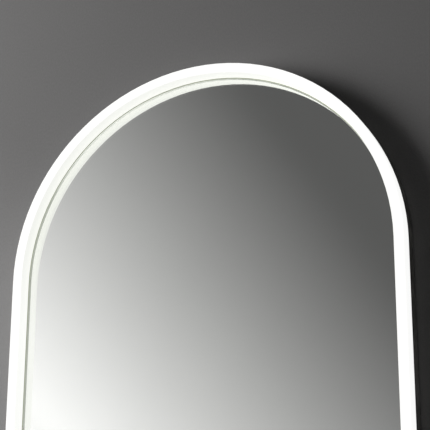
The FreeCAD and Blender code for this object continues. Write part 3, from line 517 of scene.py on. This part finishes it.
@dataclass(frozen=True)
class OpalLight(Finish):
    """Lit opal acrylic: white in front and outside, a little dimmer on its inner wall.

    Attributes:
        color: colour of the unlit acrylic.
        face: light of the front and the outer side.
        near_front: light of the inner wall at its front edge.
        near_glass: light of the inner wall beside the glass.
        straight: light of the inner wall along the straight sides, below the shoulder.
        shoulder: heights between which the inner wall's light changes to that.
        turn: distances in from the outline between which the front becomes the inner wall.
    """

    color: Color
    face: Color
    near_front: Color
    near_glass: Color
    straight: Color
    shoulder: Pair = (-0.12, 0.06)
    turn: Pair = (14.2 * MM, 14.9 * MM)

    def draw(self, g: Graph) -> None:
        """Fill the material's graph.

        Args:
            g: the graph.
        """
        place = g.place()
        axes = g.axes(place)
        inset = g.calc("SUBTRACT", OUTLINE.radius, g.reach(place))
        ring_front, glass_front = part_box("light_diffuser")[0].y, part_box("mirror_glass")[0].y
        depth = g.span(axes["Y"], ring_front, glass_front)
        wall = g.blend(depth, self.near_front, self.near_glass)
        wall = g.blend(g.span(axes["Z"], *self.shoulder), self.straight, wall)
        marks = handled(g, patches=12.0, specks=1200.0)
        glow = g.blend(g.span(inset, *self.turn), self.face, wall)
        glow = g.darken(glow, marks["Patches"], share=0.02, dark=shade(self.face, 0.90))
        rough = g.vary(marks["Specks"], middle=0.44, spread=0.08)
        g.principled({
            "Base Color": (*self.color, 1.0), "Roughness": rough, "Emission Color": glow,
            "Emission Strength": 1.0, "Normal": g.bump(marks["Height"], FINE_RELIEF),
        })


@dataclass(frozen=True)
class ClearSeal(Finish):
    """Milky silicone bead with a painted glow in place of the lit ring's light falling on it.

    Attributes:
        color: colour of the bead.
        glow: painted glow that it gives off, in place of the ring's light on it.
    """

    color: Color
    glow: Color

    def draw(self, g: Graph) -> None:
        """Fill the material's graph.

        Args:
            g: the graph.
        """
        marks = handled(g, patches=60.0, specks=900.0)
        tone = g.blend(marks["Patches"], self.color, shade(self.color, 0.88))
        # Painted glow: the bead gives off light of its own in place of the lit ring's light on it.
        glow = g.blend(marks["Patches"], self.glow, shade(self.glow, 0.94))
        g.principled({
            "Base Color": tone, "Roughness": 0.45, "Emission Color": glow, "Emission Strength": 1.0})


@dataclass(frozen=True)
class ClearGlass(Finish):
    """Clear float glass with a painted glow on its ground edge.

    Attributes:
        color: tint of the glass.
        edge: painted glow of the ground edge, in place of the lit ring's light that enters it.
        slant: steepness of a face, by its normal, between edge and flat.
    """

    color: Color
    edge: Color
    slant: Pair = (0.35, 0.75)

    def draw(self, g: Graph) -> None:
        """Fill the material's graph.

        Args:
            g: the graph.
        """
        marks = handled(g, patches=7.0, specks=300.0)
        tone = g.blend(marks["Patches"], self.color, shade(self.color, 0.996))
        flat = g.calc("ABSOLUTE", g.dot(g.node("ShaderNodeNewGeometry").outputs["Normal"], FRONT))
        # Painted glow on the ground edge and other steep faces, in place of the ring's light entering
        # the glass there.
        glow = g.blend(g.span(flat, *self.slant), self.edge, BLACK)
        g.principled({
            "Base Color": tone, "Roughness": 0.0, "IOR": 1.52, "Transmission Weight": 1.0,
            "Emission Color": glow, "Emission Strength": 1.0,
        })


@dataclass(frozen=True)
class SilverCoat(Finish):
    """Silver behind the glass, with its grey protective paint at the rear.

    Attributes:
        color: colour of the silver.
        paint: colour of the protective paint.
    """

    color: Color
    paint: Color

    def draw(self, g: Graph) -> None:
        """Fill the material's graph.

        Args:
            g: the graph.
        """
        middle = sum(corner.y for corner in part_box("silver_layer")) / 2
        painted = g.calc("GREATER_THAN", g.axes(g.place())["Y"], middle)
        marks = handled(g, patches=5.0, specks=600.0)
        silver = g.blend(marks["Patches"], self.color, shade(self.color, 0.994))
        tone = g.blend(painted, silver, self.paint)
        rough = g.calc("MULTIPLY", painted, g.vary(marks["Specks"], middle=0.55, spread=0.10))
        metal = g.calc("SUBTRACT", 1.0, painted)
        g.principled({"Base Color": tone, "Metallic": metal, "Roughness": rough})


@dataclass(frozen=True)
class Striped(Finish):
    """Lead jacket with a lengthwise stripe.

    Attributes:
        color: main colour.
        stripe: colour of the stripe.
        border: where the stripe starts, by the normal of the jacket.
    """

    color: Color
    stripe: Color
    border: Pair = (0.80, 0.84)

    def draw(self, g: Graph) -> None:
        """Fill the material's graph.

        Args:
            g: the graph.
        """
        marks = handled(g, patches=40.0, specks=1400.0)
        facing = g.axes(g.node("ShaderNodeNewGeometry").outputs["Normal"])["Y"]
        tone = g.blend(g.span(g.calc("ABSOLUTE", facing), *self.border), self.color, self.stripe)
        tone = g.darken(tone, marks["Specks"], share=0.2, dark=shade(self.color, 0.7))
        rough = g.vary(marks["Patches"], middle=0.41, spread=0.10)
        g.principled({"Base Color": tone, "Roughness": rough})


def finishes() -> list[Finish]:
    """Every finish of the object, named for its material slot.

    Returns:
        The finishes.
    """
    return [
        OpalLight("opal_light", color=(0.10, 0.10, 0.095), face=(0.95, 0.95, 0.94),
                  near_front=(0.862, 0.875, 0.835), near_glass=(0.935, 0.945, 0.895),
                  straight=(0.955, 0.965, 0.935)),
        ClearGlass("mirror_glass", (0.990, 0.996, 0.986), edge=(0.34, 0.37, 0.31)),
        SilverCoat("silver_coat", (0.975, 0.972, 0.968), (0.20, 0.24, 0.25)),
        ClearSeal("dark_seal", color=(0.25, 0.26, 0.21), glow=(0.24, 0.26, 0.195)),
        Metal("satin_frame", (0.56, 0.56, 0.54), 0.34, Lines.ALONG_Z),
        Metal("rail_aluminium", (0.74, 0.75, 0.76), 0.30, Lines.ALONG_X),
        Metal("zinc_steel", (0.70, 0.71, 0.70), 0.30),
        Metal("dark_screw", (0.10, 0.10, 0.11), 0.42),
        Metal("spring_steel", (0.62, 0.62, 0.62), 0.28),
        Metal("brass_screw", (0.78, 0.62, 0.30), 0.30),
        Metal("button_metal", (0.66, 0.66, 0.65), 0.26),
        GalvanisedSheet("pan_steel", (0.62, 0.63, 0.64)),
        Moulded("backing_film", (0.55, 0.62, 0.68), 0.30),
        Moulded("foam_tape", (0.80, 0.80, 0.78), 0.85, grain=700.0, depth=0.08 * MM),
        Moulded("heater_film", (0.74, 0.42, 0.16), 0.28),
        Moulded("black_rubber", (0.035, 0.035, 0.035), 0.62),
        Moulded("case_plastic", (0.80, 0.80, 0.78), 0.48),
        Moulded("box_plastic", (0.16, 0.165, 0.17), 0.50),
        Moulded("black_plastic", (0.035, 0.035, 0.04), 0.45),
        Moulded("clip_plastic", (0.86, 0.86, 0.82), 0.42),
        Moulded("clear_plastic", (0.80, 0.81, 0.79), 0.30),
        Moulded("circuit_board", (0.04, 0.22, 0.09), 0.35),
        Moulded("strip_board", (0.86, 0.86, 0.83), 0.40),
        Moulded("led_phosphor", (0.93, 0.82, 0.35), 0.45),
        Moulded("lead_jacket", (0.82, 0.82, 0.80), 0.38),
        Striped("earth_jacket", (0.06, 0.36, 0.08), (0.80, 0.70, 0.06)),
    ]


class Wardrobe:
    """All finishes, built once and given to the pieces by slot."""

    def __init__(self) -> None:
        """Build every finish."""
        self.materials = {finish.name: finish.build() for finish in finishes()}

    def dress(self, piece: Piece, slot: str) -> None:
        """Give a piece one finish all over.

        Args:
            piece: model node or detail piece.
            slot: material slot of the model.
        """
        piece.data.materials.clear()
        piece.data.materials.append(self.materials[slot])

    def dress_nodes(self) -> None:
        """Give every node of the model the finish of its slot."""
        for part in frame["record"]["subparts"]:
            self.dress(frame["nodes"][part["node"]], part["material_slot"])
            LOG.info("node %s: %s", part["node"], part["material_slot"])


# ---------------------------------------------------------------- modelling by hand
class Element(Enum):
    """Kind of element that edit mode selects."""

    EDGE = "EDGE"
    FACE = "FACE"


def select_only(piece: Piece) -> None:
    """Select one piece, make it active and deselect the rest.

    Args:
        piece: the piece.
    """
    bpy.ops.object.select_all(action="DESELECT")
    bpy.context.view_layer.objects.active = piece
    piece.select_set(True)


@contextmanager
def editing(piece: Piece, element: Element = Element.FACE) -> Iterator[None]:
    """Edit mode on one piece, with nothing selected in it.

    Args:
        piece: the piece.
        element: what is selected.
    """
    select_only(piece)
    bpy.ops.object.mode_set(mode="EDIT")
    bpy.ops.mesh.select_mode(type=element.value)
    bpy.ops.mesh.select_all(action="DESELECT")
    yield
    bpy.ops.object.mode_set(mode="OBJECT")


def pick(piece: Piece, element: Element,
         wanted: Callable[[bmesh.types.BMEdge | bmesh.types.BMFace], bool]) -> None:
    """In edit mode, select just the edges or faces for which wanted is true.

    Args:
        piece: the piece.
        element: edges or faces.
        wanted: test of one edge or face.
    """
    shape = bmesh.from_edit_mesh(piece.data)
    found = shape.faces if element is Element.FACE else shape.edges
    for one in found:
        one.select_set(False)
    for one in found:
        if wanted(one):
            one.select_set(True)
    if element is Element.FACE:
        shape.select_flush(True)
    bmesh.update_edit_mesh(piece.data)


def settle(piece: Piece, name: str) -> Piece:
    """Name a piece and bring its place, turn and scale into its mesh.

    Args:
        piece: the piece.
        name: its name.

    Returns:
        The piece.
    """
    select_only(piece)
    bpy.ops.object.transform_apply(location=True, rotation=True, scale=True)
    piece.name = piece.data.name = name
    return piece


def face_outwards() -> None:
    """In edit mode, select all of a piece and turn its normals outwards."""
    bpy.ops.mesh.select_all(action="SELECT")
    bpy.ops.mesh.normals_make_consistent(inside=False)


def smooth(piece: Piece, degrees: float) -> None:
    """Round shading, sharp where faces meet at more than an angle."""
    select_only(piece)
    bpy.ops.object.shade_smooth_by_angle(angle=math.radians(degrees))


def capsule_plate(name: str, inset: float, front: float, rear: float, steps: int = 192) -> Piece:
    """Flat plate of the mirror's outline.

    Args:
        name: name of the piece.
        inset: distance inwards from the outline.
        front: y of its front face.
        rear: y of its rear face.
        steps: sides of the circle that its round ends come from.

    Returns:
        The plate, at the origin.
    """
    centre, half = OUTLINE.centre, OUTLINE.half
    bpy.ops.mesh.primitive_circle_add(
        vertices=steps, radius=OUTLINE.radius - inset, fill_type="NGON",
        location=(centre.x, front, centre.z), rotation=(math.pi / 2, 0.0, 0.0))
    piece = settle(bpy.context.active_object, name)
    with editing(piece):
        bpy.ops.mesh.select_all(action="SELECT")
        bpy.ops.mesh.bisect(plane_co=centre, plane_no=UP)
        for side in (1, -1):
            pick(piece, Element.FACE, lambda f: side * (f.calc_center_median().z - centre.z) > 0)
            bpy.ops.mesh.split()
            bpy.ops.transform.translate(value=(0.0, 0.0, side * half))
    with editing(piece, Element.EDGE):
        pick(piece, Element.EDGE, lambda e: abs(e.verts[0].co.x - e.verts[1].co.x) > OUTLINE.radius)
        bpy.ops.mesh.bridge_edge_loops()
    with editing(piece):
        bpy.ops.mesh.select_all(action="SELECT")
        bpy.ops.mesh.dissolve_faces()
        bpy.ops.mesh.extrude_region_move(TRANSFORM_OT_translate={"value": (0.0, rear - front, 0.0)})
        face_outwards()
    return piece


@dataclass
class MirrorGlass:
    """The clear plate in front of the silver, with its ground edge.

    Attributes:
        air: gap between the plate and the silver, which keeps their faces apart.
        arris: width of the ground edge.
        arris_steps: flats that its rounding is made of.
    """

    air: float = 0.03 * MM
    arris: float = 0.4 * MM
    arris_steps: int = 3

    def build(self, wardrobe: Wardrobe) -> None:
        """Model the plate and dress it.

        Args:
            wardrobe: the object's finishes.
        """
        low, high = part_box("mirror_glass")
        inset = OUTLINE.radius - high.x
        plate = capsule_plate("glass_plate", inset, low.y, high.y - self.air)
        with editing(plate, Element.EDGE):
            pick(plate, Element.EDGE, lambda e: all(abs(v.co.y - low.y) < SAME_PLACE for v in e.verts))
            bpy.ops.mesh.bevel(offset=self.arris, segments=self.arris_steps, affect="EDGES")
        smooth(plate, degrees=10.0)
        wardrobe.dress(plate, "mirror_glass")
        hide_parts("mirror_glass")
        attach(plate, "mirror")
        LOG.info("glass_plate: %d faces", len(plate.data.polygons))


def turned(name: str, start: Vector, along: Vector, profile: list[Pair], sides: int = 32) -> Piece:
    """Turned piece, drawn out of a disc ring by ring.

    Args:
        name: name of the piece.
        start: middle of its first disc.
        along: its axis, a unit vector.
        profile: distance along the axis and radius of each ring.
        sides: sides of each ring.

    Returns:
        The piece, at the origin.
    """
    reached, radius = profile[0]
    bpy.ops.mesh.primitive_circle_add(
        vertices=sides, radius=radius, fill_type="NGON", location=start + along * reached,
        rotation=along.to_track_quat("Z", "Y").to_euler())
    piece = settle(bpy.context.active_object, name)
    with editing(piece):
        bpy.ops.mesh.select_all(action="SELECT")
        for distance, wanted in profile[1:]:
            bpy.ops.mesh.extrude_region_move(
                TRANSFORM_OT_translate={"value": along * (distance - reached)})
            bpy.ops.transform.resize(
                value=(wanted / radius,) * 3, center_override=start + along * distance)
            reached, radius = distance, wanted
        face_outwards()
    smooth(piece, degrees=40.0)
    return piece


@dataclass(frozen=True)
class Exit:
    """Place where a lead leaves a case.

    Attributes:
        name: name of the boot there.
        case: node of the case.
        offset: place on the case's wall, from the case's middle, along X and Z.
        along: direction in which the lead leaves.
        lead: radius of the lead.
    """

    name: str
    case: str
    offset: Pair
    along: Vector
    lead: float


@dataclass
class LeadBoots:
    """Ribbed rubber boots that ease the leads out of the driver and the terminal box.

    Attributes:
        driver: width and height of the driver's case.
        box: width and height of the terminal box.
        mains: radius of the mains lead.
        low_voltage: radius of the leads to the light strip and the demister.
        switch: radius of the switch lead.
        earth: radius of the earth lead.
        collar: length of a boot's collar.
        collar_wall: rubber round the lead at the collar.
        tip_wall: rubber round the lead at the tip.
        rib: length of a rib.
        groove: length of a groove.
        groove_depth: depth of a groove.
        ribs: ribs of a boot.
        chamfer: chamfer at the case.
        nose: length of the tip's taper.
        nose_wall: rubber round the lead at the end of the taper.
    """

    driver: Pair = (160.0 * MM, 42.0 * MM)
    box: Pair = (96.0 * MM, 50.0 * MM)
    mains: float = 3.0 * MM
    low_voltage: float = 2.0 * MM
    switch: float = 1.5 * MM
    earth: float = 1.2 * MM
    collar: float = 1.6 * MM
    collar_wall: float = 1.5 * MM
    tip_wall: float = 0.6 * MM
    rib: float = 1.1 * MM
    groove: float = 0.8 * MM
    groove_depth: float = 0.5 * MM
    ribs: int = 5
    chamfer: float = 0.2 * MM
    nose: float = 0.3 * MM
    nose_wall: float = 0.1 * MM

    def exits(self) -> list[Exit]:
        """The six places where a lead leaves a case.

        Returns:
            The places.
        """
        wide, high = self.driver[0] / 2, self.driver[1] / 2
        box_wide, box_high = self.box[0] / 2, self.box[1] / 2
        return [
            Exit("boot_driver_mains", "driver_case", (-wide, 12 * MM), LEFT, self.mains),
            Exit("boot_driver_led", "driver_case", (wide, 8 * MM), RIGHT, self.low_voltage),
            Exit("boot_driver_switch", "driver_case", (40 * MM, -high), DOWN, self.switch),
            Exit("boot_box_mains", "terminal_box", (-box_wide, -10 * MM), LEFT, self.mains),
            Exit("boot_box_demister", "terminal_box", (box_wide, 10 * MM), RIGHT, self.low_voltage),
            Exit("boot_box_earth", "terminal_box", (-30 * MM, box_high), UP, self.earth),
        ]

    def profile(self, lead: float) -> list[Pair]:
        """Rings of a boot, from its collar to its tip.

        Args:
            lead: radius of the lead.

        Returns:
            Distance and radius of each ring.
        """
        widest, tip = lead + self.collar_wall, lead + self.tip_wall
        rings = [(0.0, widest - self.chamfer), (self.chamfer, widest), (self.collar, widest)]
        reached = self.collar
        for index in range(self.ribs):
            outer = widest + (tip - widest) * (index + 1) / self.ribs
            for length, radius in ((self.groove, outer - self.groove_depth), (self.rib, outer)):
                rings += [(reached, radius), (reached + length, radius)]
                reached += length
        rings.append((reached + self.nose, lead + self.nose_wall))
        return rings

    def build(self, wardrobe: Wardrobe) -> None:
        """Model the boots and dress them.

        Args:
            wardrobe: the object's finishes.
        """
        low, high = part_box("mains_lead")
        depth = (low.y + high.y) / 2
        for place in self.exits():
            case_low, case_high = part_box(place.case)
            start = Vector(((case_low.x + case_high.x) / 2 + place.offset[0], depth,
                            (case_low.z + case_high.z) / 2 + place.offset[1]))
            boot = turned(place.name, start, place.along, self.profile(place.lead))
            wardrobe.dress(boot, "black_rubber")
            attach(boot, "mirror")
            LOG.info("%s: %d faces", place.name, len(boot.data.polygons))


@dataclass
class ReturnSpring:
    """Coil spring that pushes the button out again.

    Attributes:
        wire: radius of the wire.
        turns: turns of the coil.
        sides: sides of the wire's section.
        steps: straight steps of one turn.
    """

    wire: float = 0.25 * MM
    turns: int = 5
    sides: int = 12
    steps: int = 28

    def build(self, wardrobe: Wardrobe) -> None:
        """Model the coil and dress it.

        Args:
            wardrobe: the object's finishes.
        """
        low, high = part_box("button_spring")
        middle, length = (low + high) / 2, high.z - low.z
        radius = (high.x - low.x) / 2 - self.wire
        bpy.ops.mesh.primitive_circle_add(
            vertices=self.sides, radius=self.wire, location=(radius, 0.0, 0.0),
            rotation=(math.pi / 2, 0.0, 0.0))
        spring = settle(bpy.context.active_object, "return_spring")
        coil = spring.modifiers.new("coil", "SCREW")
        coil.axis = "Z"
        coil.screw_offset = (length - 2 * self.wire) / self.turns
        coil.iterations = self.turns
        coil.steps = coil.render_steps = self.steps
        bpy.ops.object.modifier_apply(modifier=coil.name)
        with editing(spring):
            bpy.ops.mesh.select_all(action="SELECT")
            bpy.ops.mesh.fill_holes(sides=0)
            face_outwards()
            bpy.ops.transform.translate(value=(middle.x, middle.y, low.z + self.wire))
        smooth(spring, degrees=50.0)
        wardrobe.dress(spring, "spring_steel")
        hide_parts("button_spring")
        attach(spring, "mirror")
        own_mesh(spring)
        LOG.info("return_spring: %d faces", len(spring.data.polygons))


# ---------------------------------------------------------------- studio
def set_up(data: bpy.types.ID, at: Vector, turn: Quaternion) -> Piece:
    """Put a camera or a lamp into the scene.

    Args:
        data: the camera or the lamp, whose name it takes.
        at: its place.
        turn: its turn.

    Returns:
        The object.
    """
    made = bpy.data.objects.new(data.name, data)
    made.location = at
    made.rotation_mode = "QUATERNION"
    made.rotation_quaternion = turn
    bpy.context.scene.collection.objects.link(made)
    return made


@dataclass(frozen=True)
class PhotoCamera:
    """Camera at the place that the picture's perspective gives.

    Attributes:
        place: where it stands.
        yaw: turn towards -X, in degrees.
        pitch: upward tilt, in degrees.
        roll: turn about its own line of sight, in degrees.
        lens: focal length in millimetres, on the sensor width below.
        sensor: sensor width in millimetres.
    """

    place: Point = (0.7887, -1.8646, -0.6394)
    yaw: float = 22.78
    pitch: float = 19.09
    roll: float = 0.24
    lens: float = 123.02
    sensor: float = 36.0

    def axes(self) -> tuple[Vector, Vector, Vector]:
        """Line of sight, right and up.

        Returns:
            The three unit vectors.
        """
        yaw, pitch, roll = (math.radians(angle) for angle in (self.yaw, self.pitch, self.roll))
        ahead = Vector((-math.sin(yaw), math.cos(yaw), 0.0))
        sight = math.cos(pitch) * ahead + math.sin(pitch) * UP
        level_right = Vector((math.cos(yaw), math.sin(yaw), 0.0))
        level_up = level_right.cross(sight)
        right = math.cos(roll) * level_right + math.sin(roll) * level_up
        up = -math.sin(roll) * level_right + math.cos(roll) * level_up
        return sight, right, up

    def build(self) -> None:
        """Make the scene's camera."""
        sight, right, up = self.axes()
        data = bpy.data.cameras.new("photo_camera")
        data.lens = self.lens
        data.sensor_width = self.sensor
        turn = Matrix((right, up, -sight)).transposed().to_quaternion()
        bpy.context.scene.camera = set_up(data, Vector(self.place), turn)


@dataclass(frozen=True)
class Lamp:
    """Soft rectangular lamp that neither the camera nor a mirror or glass shows.

    Attributes:
        name: name of the lamp.
        at: its place.
        target: point that it faces.
        size: width and height.
        watts: power.
    """

    name: str
    at: Point
    target: Point
    size: Pair
    watts: float

    def build(self) -> None:
        """Make the lamp."""
        data = bpy.data.lights.new(self.name, "AREA")
        data.shape = "RECTANGLE"
        data.size, data.size_y = self.size
        data.energy = self.watts
        at = Vector(self.at)
        made = set_up(data, at, (Vector(self.target) - at).to_track_quat("-Z", "Y"))
        made.visible_camera = made.visible_glossy = made.visible_transmission = False


@dataclass(frozen=True)
class WallPaint(Finish):
    """Grey wall with painted light, seen from the front only, that lets lamplight through behind the
    mirror.

    Attributes:
        color: colour of the paint.
        grain: fineness of its grain along X, Y and Z, per metre.
        grain_tone: tone of the grain's dark and light parts.
        relief: height of the paint's roughness.
        painted_light_axis: direction in which a painted pool of light makes the wall lighter.
        painted_light_span: where that painted light starts and ends, along the direction.
        painted_light_tone: tone of the wall before and past these, with the painted light.
        painted_glow_tone: how much lighter a painted glow of the lit ring makes the wall right beside
            it.
        painted_glow_width: distance over which that painted glow fades to about a third.
    """

    color: Color = (0.150, 0.148, 0.147)
    grain: Point = (520.0, 520.0, 260.0)
    grain_tone: Pair = (0.93, 1.07)
    relief: float = 0.4 * MM
    painted_light_axis: Point = (-0.6, 0.0, -0.8)
    painted_light_span: Pair = (0.0, 0.30)
    painted_light_tone: Pair = (0.95, 1.36)
    painted_glow_tone: float = 0.45
    painted_glow_width: float = 0.030

    def draw(self, g: Graph) -> None:
        """Fill the material's graph.

        Args:
            g: the graph.
        """
        place = g.place()
        marks = handled(g, patches=5.0, specks=420.0)
        tone = g.darken(self.color, marks["Patches"], share=0.4, dark=shade(self.color, 0.96))
        lines = DRAWN.add_to(g, {"Place": place, "Stretch": self.grain})["Lines"]
        grain = g.span(lines, *MOST_NOISE, *self.grain_tone, smooth=False)
        # Painted pool of light: the wall's tone grows lighter towards the lower left.
        painted_light_pool = g.span(g.dot(place, Vector(self.painted_light_axis)), *self.painted_light_span, *self.painted_light_tone)
        reach = g.reach(place)
        # Painted glow of the lit ring: the wall's tone grows lighter close to the mirror's outline.
        away = g.calc("MAXIMUM", g.calc("SUBTRACT", reach, OUTLINE.radius), 0.0)
        painted_glow = g.calc("EXPONENT", g.calc("DIVIDE", away, -self.painted_glow_width))
        light = g.calc("MULTIPLY", g.calc("MULTIPLY", grain, painted_light_pool),
                       g.calc("MULTIPLY_ADD", painted_glow, self.painted_glow_tone, 1.0))
        paint = g.node("ShaderNodeBsdfDiffuse", {
            "Color": g.blend(1.0, tone, g.grey(light), "MULTIPLY"),
            "Normal": g.bump(marks["Height"], self.relief, strength=0.5)})
        clear = g.node("ShaderNodeBsdfTransparent")
        path = g.node("ShaderNodeLightPath").outputs
        bounced = g.calc("GREATER_THAN", path["Diffuse Depth"], 0.5)
        closed = g.calc("MAXIMUM", path["Is Camera Ray"], bounced)
        outside = g.calc("GREATER_THAN", reach, OUTLINE.radius)
        front = g.calc("SUBTRACT", 1.0, g.node("ShaderNodeNewGeometry").outputs["Backfacing"])
        solid = g.calc("MULTIPLY", front, g.calc("MAXIMUM", outside, closed))
        g.show(g.choose(solid, clear.outputs["BSDF"], paint.outputs["BSDF"]))


@dataclass(frozen=True)
class FloorPaint(Finish):
    """Pale matt floor that only its upper side shows.

    Attributes:
        color: colour of the floor.
        glow: light that makes the floor pale beside the object.
        fade: distances from the wall between which a mirrored floor darkens.
        far_glow: light of the far floor, as dark as the air above it in the mirror.
    """

    color: Color = (0.80, 0.80, 0.79)
    glow: float = 0.72
    fade: Pair = (2.0, 9.5)
    far_glow: float = 0.14

    def draw(self, g: Graph) -> None:
        """Fill the material's graph.

        Args:
            g: the graph.
        """
        marks = handled(g, patches=2.0, specks=160.0)
        tone = g.darken(self.color, marks["Patches"], share=0.3, dark=shade(self.color, 0.96))
        matt = g.node("ShaderNodeBsdfDiffuse", {"Color": tone})
        path = g.node("ShaderNodeLightPath").outputs
        faded = g.span(g.dot(g.place(), FRONT), *self.fade, self.glow, self.far_glow)
        strength = g.calc("MAXIMUM", g.calc("MULTIPLY", path["Is Camera Ray"], self.glow),
                          g.calc("MULTIPLY", g.mirrored(path), faded))
        pale = g.node("ShaderNodeEmission", {"Color": tone, "Strength": strength})
        lit = g.node("ShaderNodeAddShader", {0: matt.outputs["BSDF"], 1: pale.outputs["Emission"]})
        clear = g.node("ShaderNodeBsdfTransparent")
        below = g.node("ShaderNodeNewGeometry").outputs["Backfacing"]
        g.show(g.choose(below, lit.outputs["Shader"], clear.outputs["BSDF"]))


TOP_LEVEL, SRGB_OFFSET, SRGB_POWER = 255.0, 0.055, 2.4


@dataclass(frozen=True)
class StudioAir:
    """World: even fill for matt surfaces, a bright-to-dark air for mirrors, pale for the camera.

    The levels of the mirrored air are those of a picture, from 0 to 255. A ramp is its slope along
    a direction and its level at right angles to it.

    Attributes:
        fill: strength of the light from all round.
        bright_side: shares of the picture's right and up in the direction of the bright side.
        ramp: ramp towards the bright side.
        darkest: ramp of the lowest level, along the mirrored line of sight.
        brightest: ramp of the highest level, towards the bright side.
        brightest_end: level at which that one stays.
        rounding: how softly the ramp meets the darkest and the brightest one.
        strength: strength of the mirrored air.
        pale: colour for the camera.
    """

    fill: float = 0.06
    bright_side: Pair = (-0.787, -0.617)
    ramp: Pair = (690.6, 136.4)
    darkest: Pair = (-80.0, 167.0)
    brightest: Pair = (-260.0, 300.0)
    brightest_end: float = 168.0
    rounding: Pair = (14.0, 10.0)
    strength: float = 1.06
    pale: Color = (0.84, 0.85, 0.86)

    def mirrored_air(self, g: Graph) -> Socket:
        """Air that a mirror on the wall shows.

        Args:
            g: graph of the world.

        Returns:
            Its colour.
        """
        ray = g.node("ShaderNodeTexCoord").outputs["Generated"]
        sight, right, up = (Vector((v.x, -v.y, v.z)) for v in PhotoCamera().axes())
        side = (self.bright_side[0] * right + self.bright_side[1] * up).normalized()
        along = g.dot(ray, side)
        level = g.calc("MULTIPLY_ADD", along, *self.ramp)
        least = g.calc("MULTIPLY_ADD", g.dot(ray, sight), *self.darkest)
        most = g.calc("MAXIMUM", g.calc("MULTIPLY_ADD", along, *self.brightest), self.brightest_end)
        level = g.calc("SMOOTH_MAX", level, least, self.rounding[0])
        level = g.calc("SMOOTH_MIN", level, most, self.rounding[1])
        share = g.calc("ADD", g.calc("DIVIDE", level, TOP_LEVEL), SRGB_OFFSET)
        return g.grey(g.calc("POWER", g.calc("DIVIDE", share, 1 + SRGB_OFFSET), SRGB_POWER))

    def build(self) -> None:
        """Make the world."""
        world = bpy.data.worlds.new("studio_air")
        world.use_nodes = True
        bpy.context.scene.world = world
        g = Graph(world.node_tree)
        soft = g.node("ShaderNodeBackground", {"Color": (*WHITE, 1.0), "Strength": self.fill})
        mirrored = g.node("ShaderNodeBackground", {
            "Color": self.mirrored_air(g), "Strength": self.strength})
        pale = g.node("ShaderNodeBackground", {"Color": (*self.pale, 1.0)})
        path = g.node("ShaderNodeLightPath").outputs
        unseen = g.choose(g.mirrored(path), soft.outputs[0], mirrored.outputs[0])
        shown = g.choose(path["Is Camera Ray"], unseen, pale.outputs[0])
        g.show(shown, "ShaderNodeOutputWorld")


def sheet(name: str, low: Point, high: Point, finish: Finish) -> Piece:
    """Flat sheet of the studio that faces -Y or up.

    Args:
        name: its name.
        low: its lowest corner.
        high: its highest corner.
        finish: its finish.

    Returns:
        The sheet.
    """
    (left, front, base), (right, rear, top) = low, high
    mesh = bpy.data.meshes.new(name)
    corners = [(left, front, base), (right, front, base), (right, rear, top), (left, rear, top)]
    mesh.from_pydata(corners, [], [(0, 1, 2, 3)])
    mesh.materials.append(finish.build())
    made = bpy.data.objects.new(name, mesh)
    bpy.context.scene.collection.objects.link(made)
    return made


@dataclass(frozen=True)
class Studio:
    """Grey wall with painted light, pale floor, soft lamps and the air around them.

    Attributes:
        wall_half: half the width of the wall.
        wall_top: height of its upper edge.
        floor_half: half the width of the floor.
        floor_z: height of the floor.
        lamps: the key lamp, and the one that lights the back.
    """

    wall_half: float = 1.7
    wall_top: float = 1.6
    floor_half: float = 12.0
    floor_z: float = -1.82
    lamps: tuple[Lamp, ...] = (
        Lamp("key_lamp", (-1.81, -1.17, 0.30), (0.1, 0.0, 0.0), (1.53, 1.04), 69.0),
        Lamp("rear_lamp", (1.3, 1.7, 0.75), (0.0, 0.0, -0.32), (1.1, 1.1), 60.0),
    )

    def build(self) -> None:
        """Make the wall, the floor, the lamps and the air."""
        wide, deep, base = self.wall_half, self.floor_half, self.floor_z
        wall = sheet("backdrop", (-wide, 0.0, base), (wide, 0.0, self.wall_top), WallPaint("wall_paint"))
        floor = sheet("floor", (-deep, -deep, base), (deep, deep, base), FloorPaint("pale_floor"))
        for lamp in self.lamps:
            lamp.build()
        StudioAir().build()


def main() -> None:
    """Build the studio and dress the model."""
    logging.basicConfig(level=logging.INFO, format="%(message)s")
    bpy.context.scene.view_settings.view_transform = "Standard"
    PhotoCamera().build()
    Studio().build()
    wardrobe = Wardrobe()
    wardrobe.dress_nodes()
    MirrorGlass().build(wardrobe)
    LeadBoots().build(wardrobe)
    ReturnSpring().build(wardrobe)
    # The lit ring lights no matt surface; painted glows on the wall, the seal and the glass edge stand
    # in for its light.
    frame["nodes"]["light_diffuser"].visible_diffuse = False


if __name__ == "__main__":
    main()
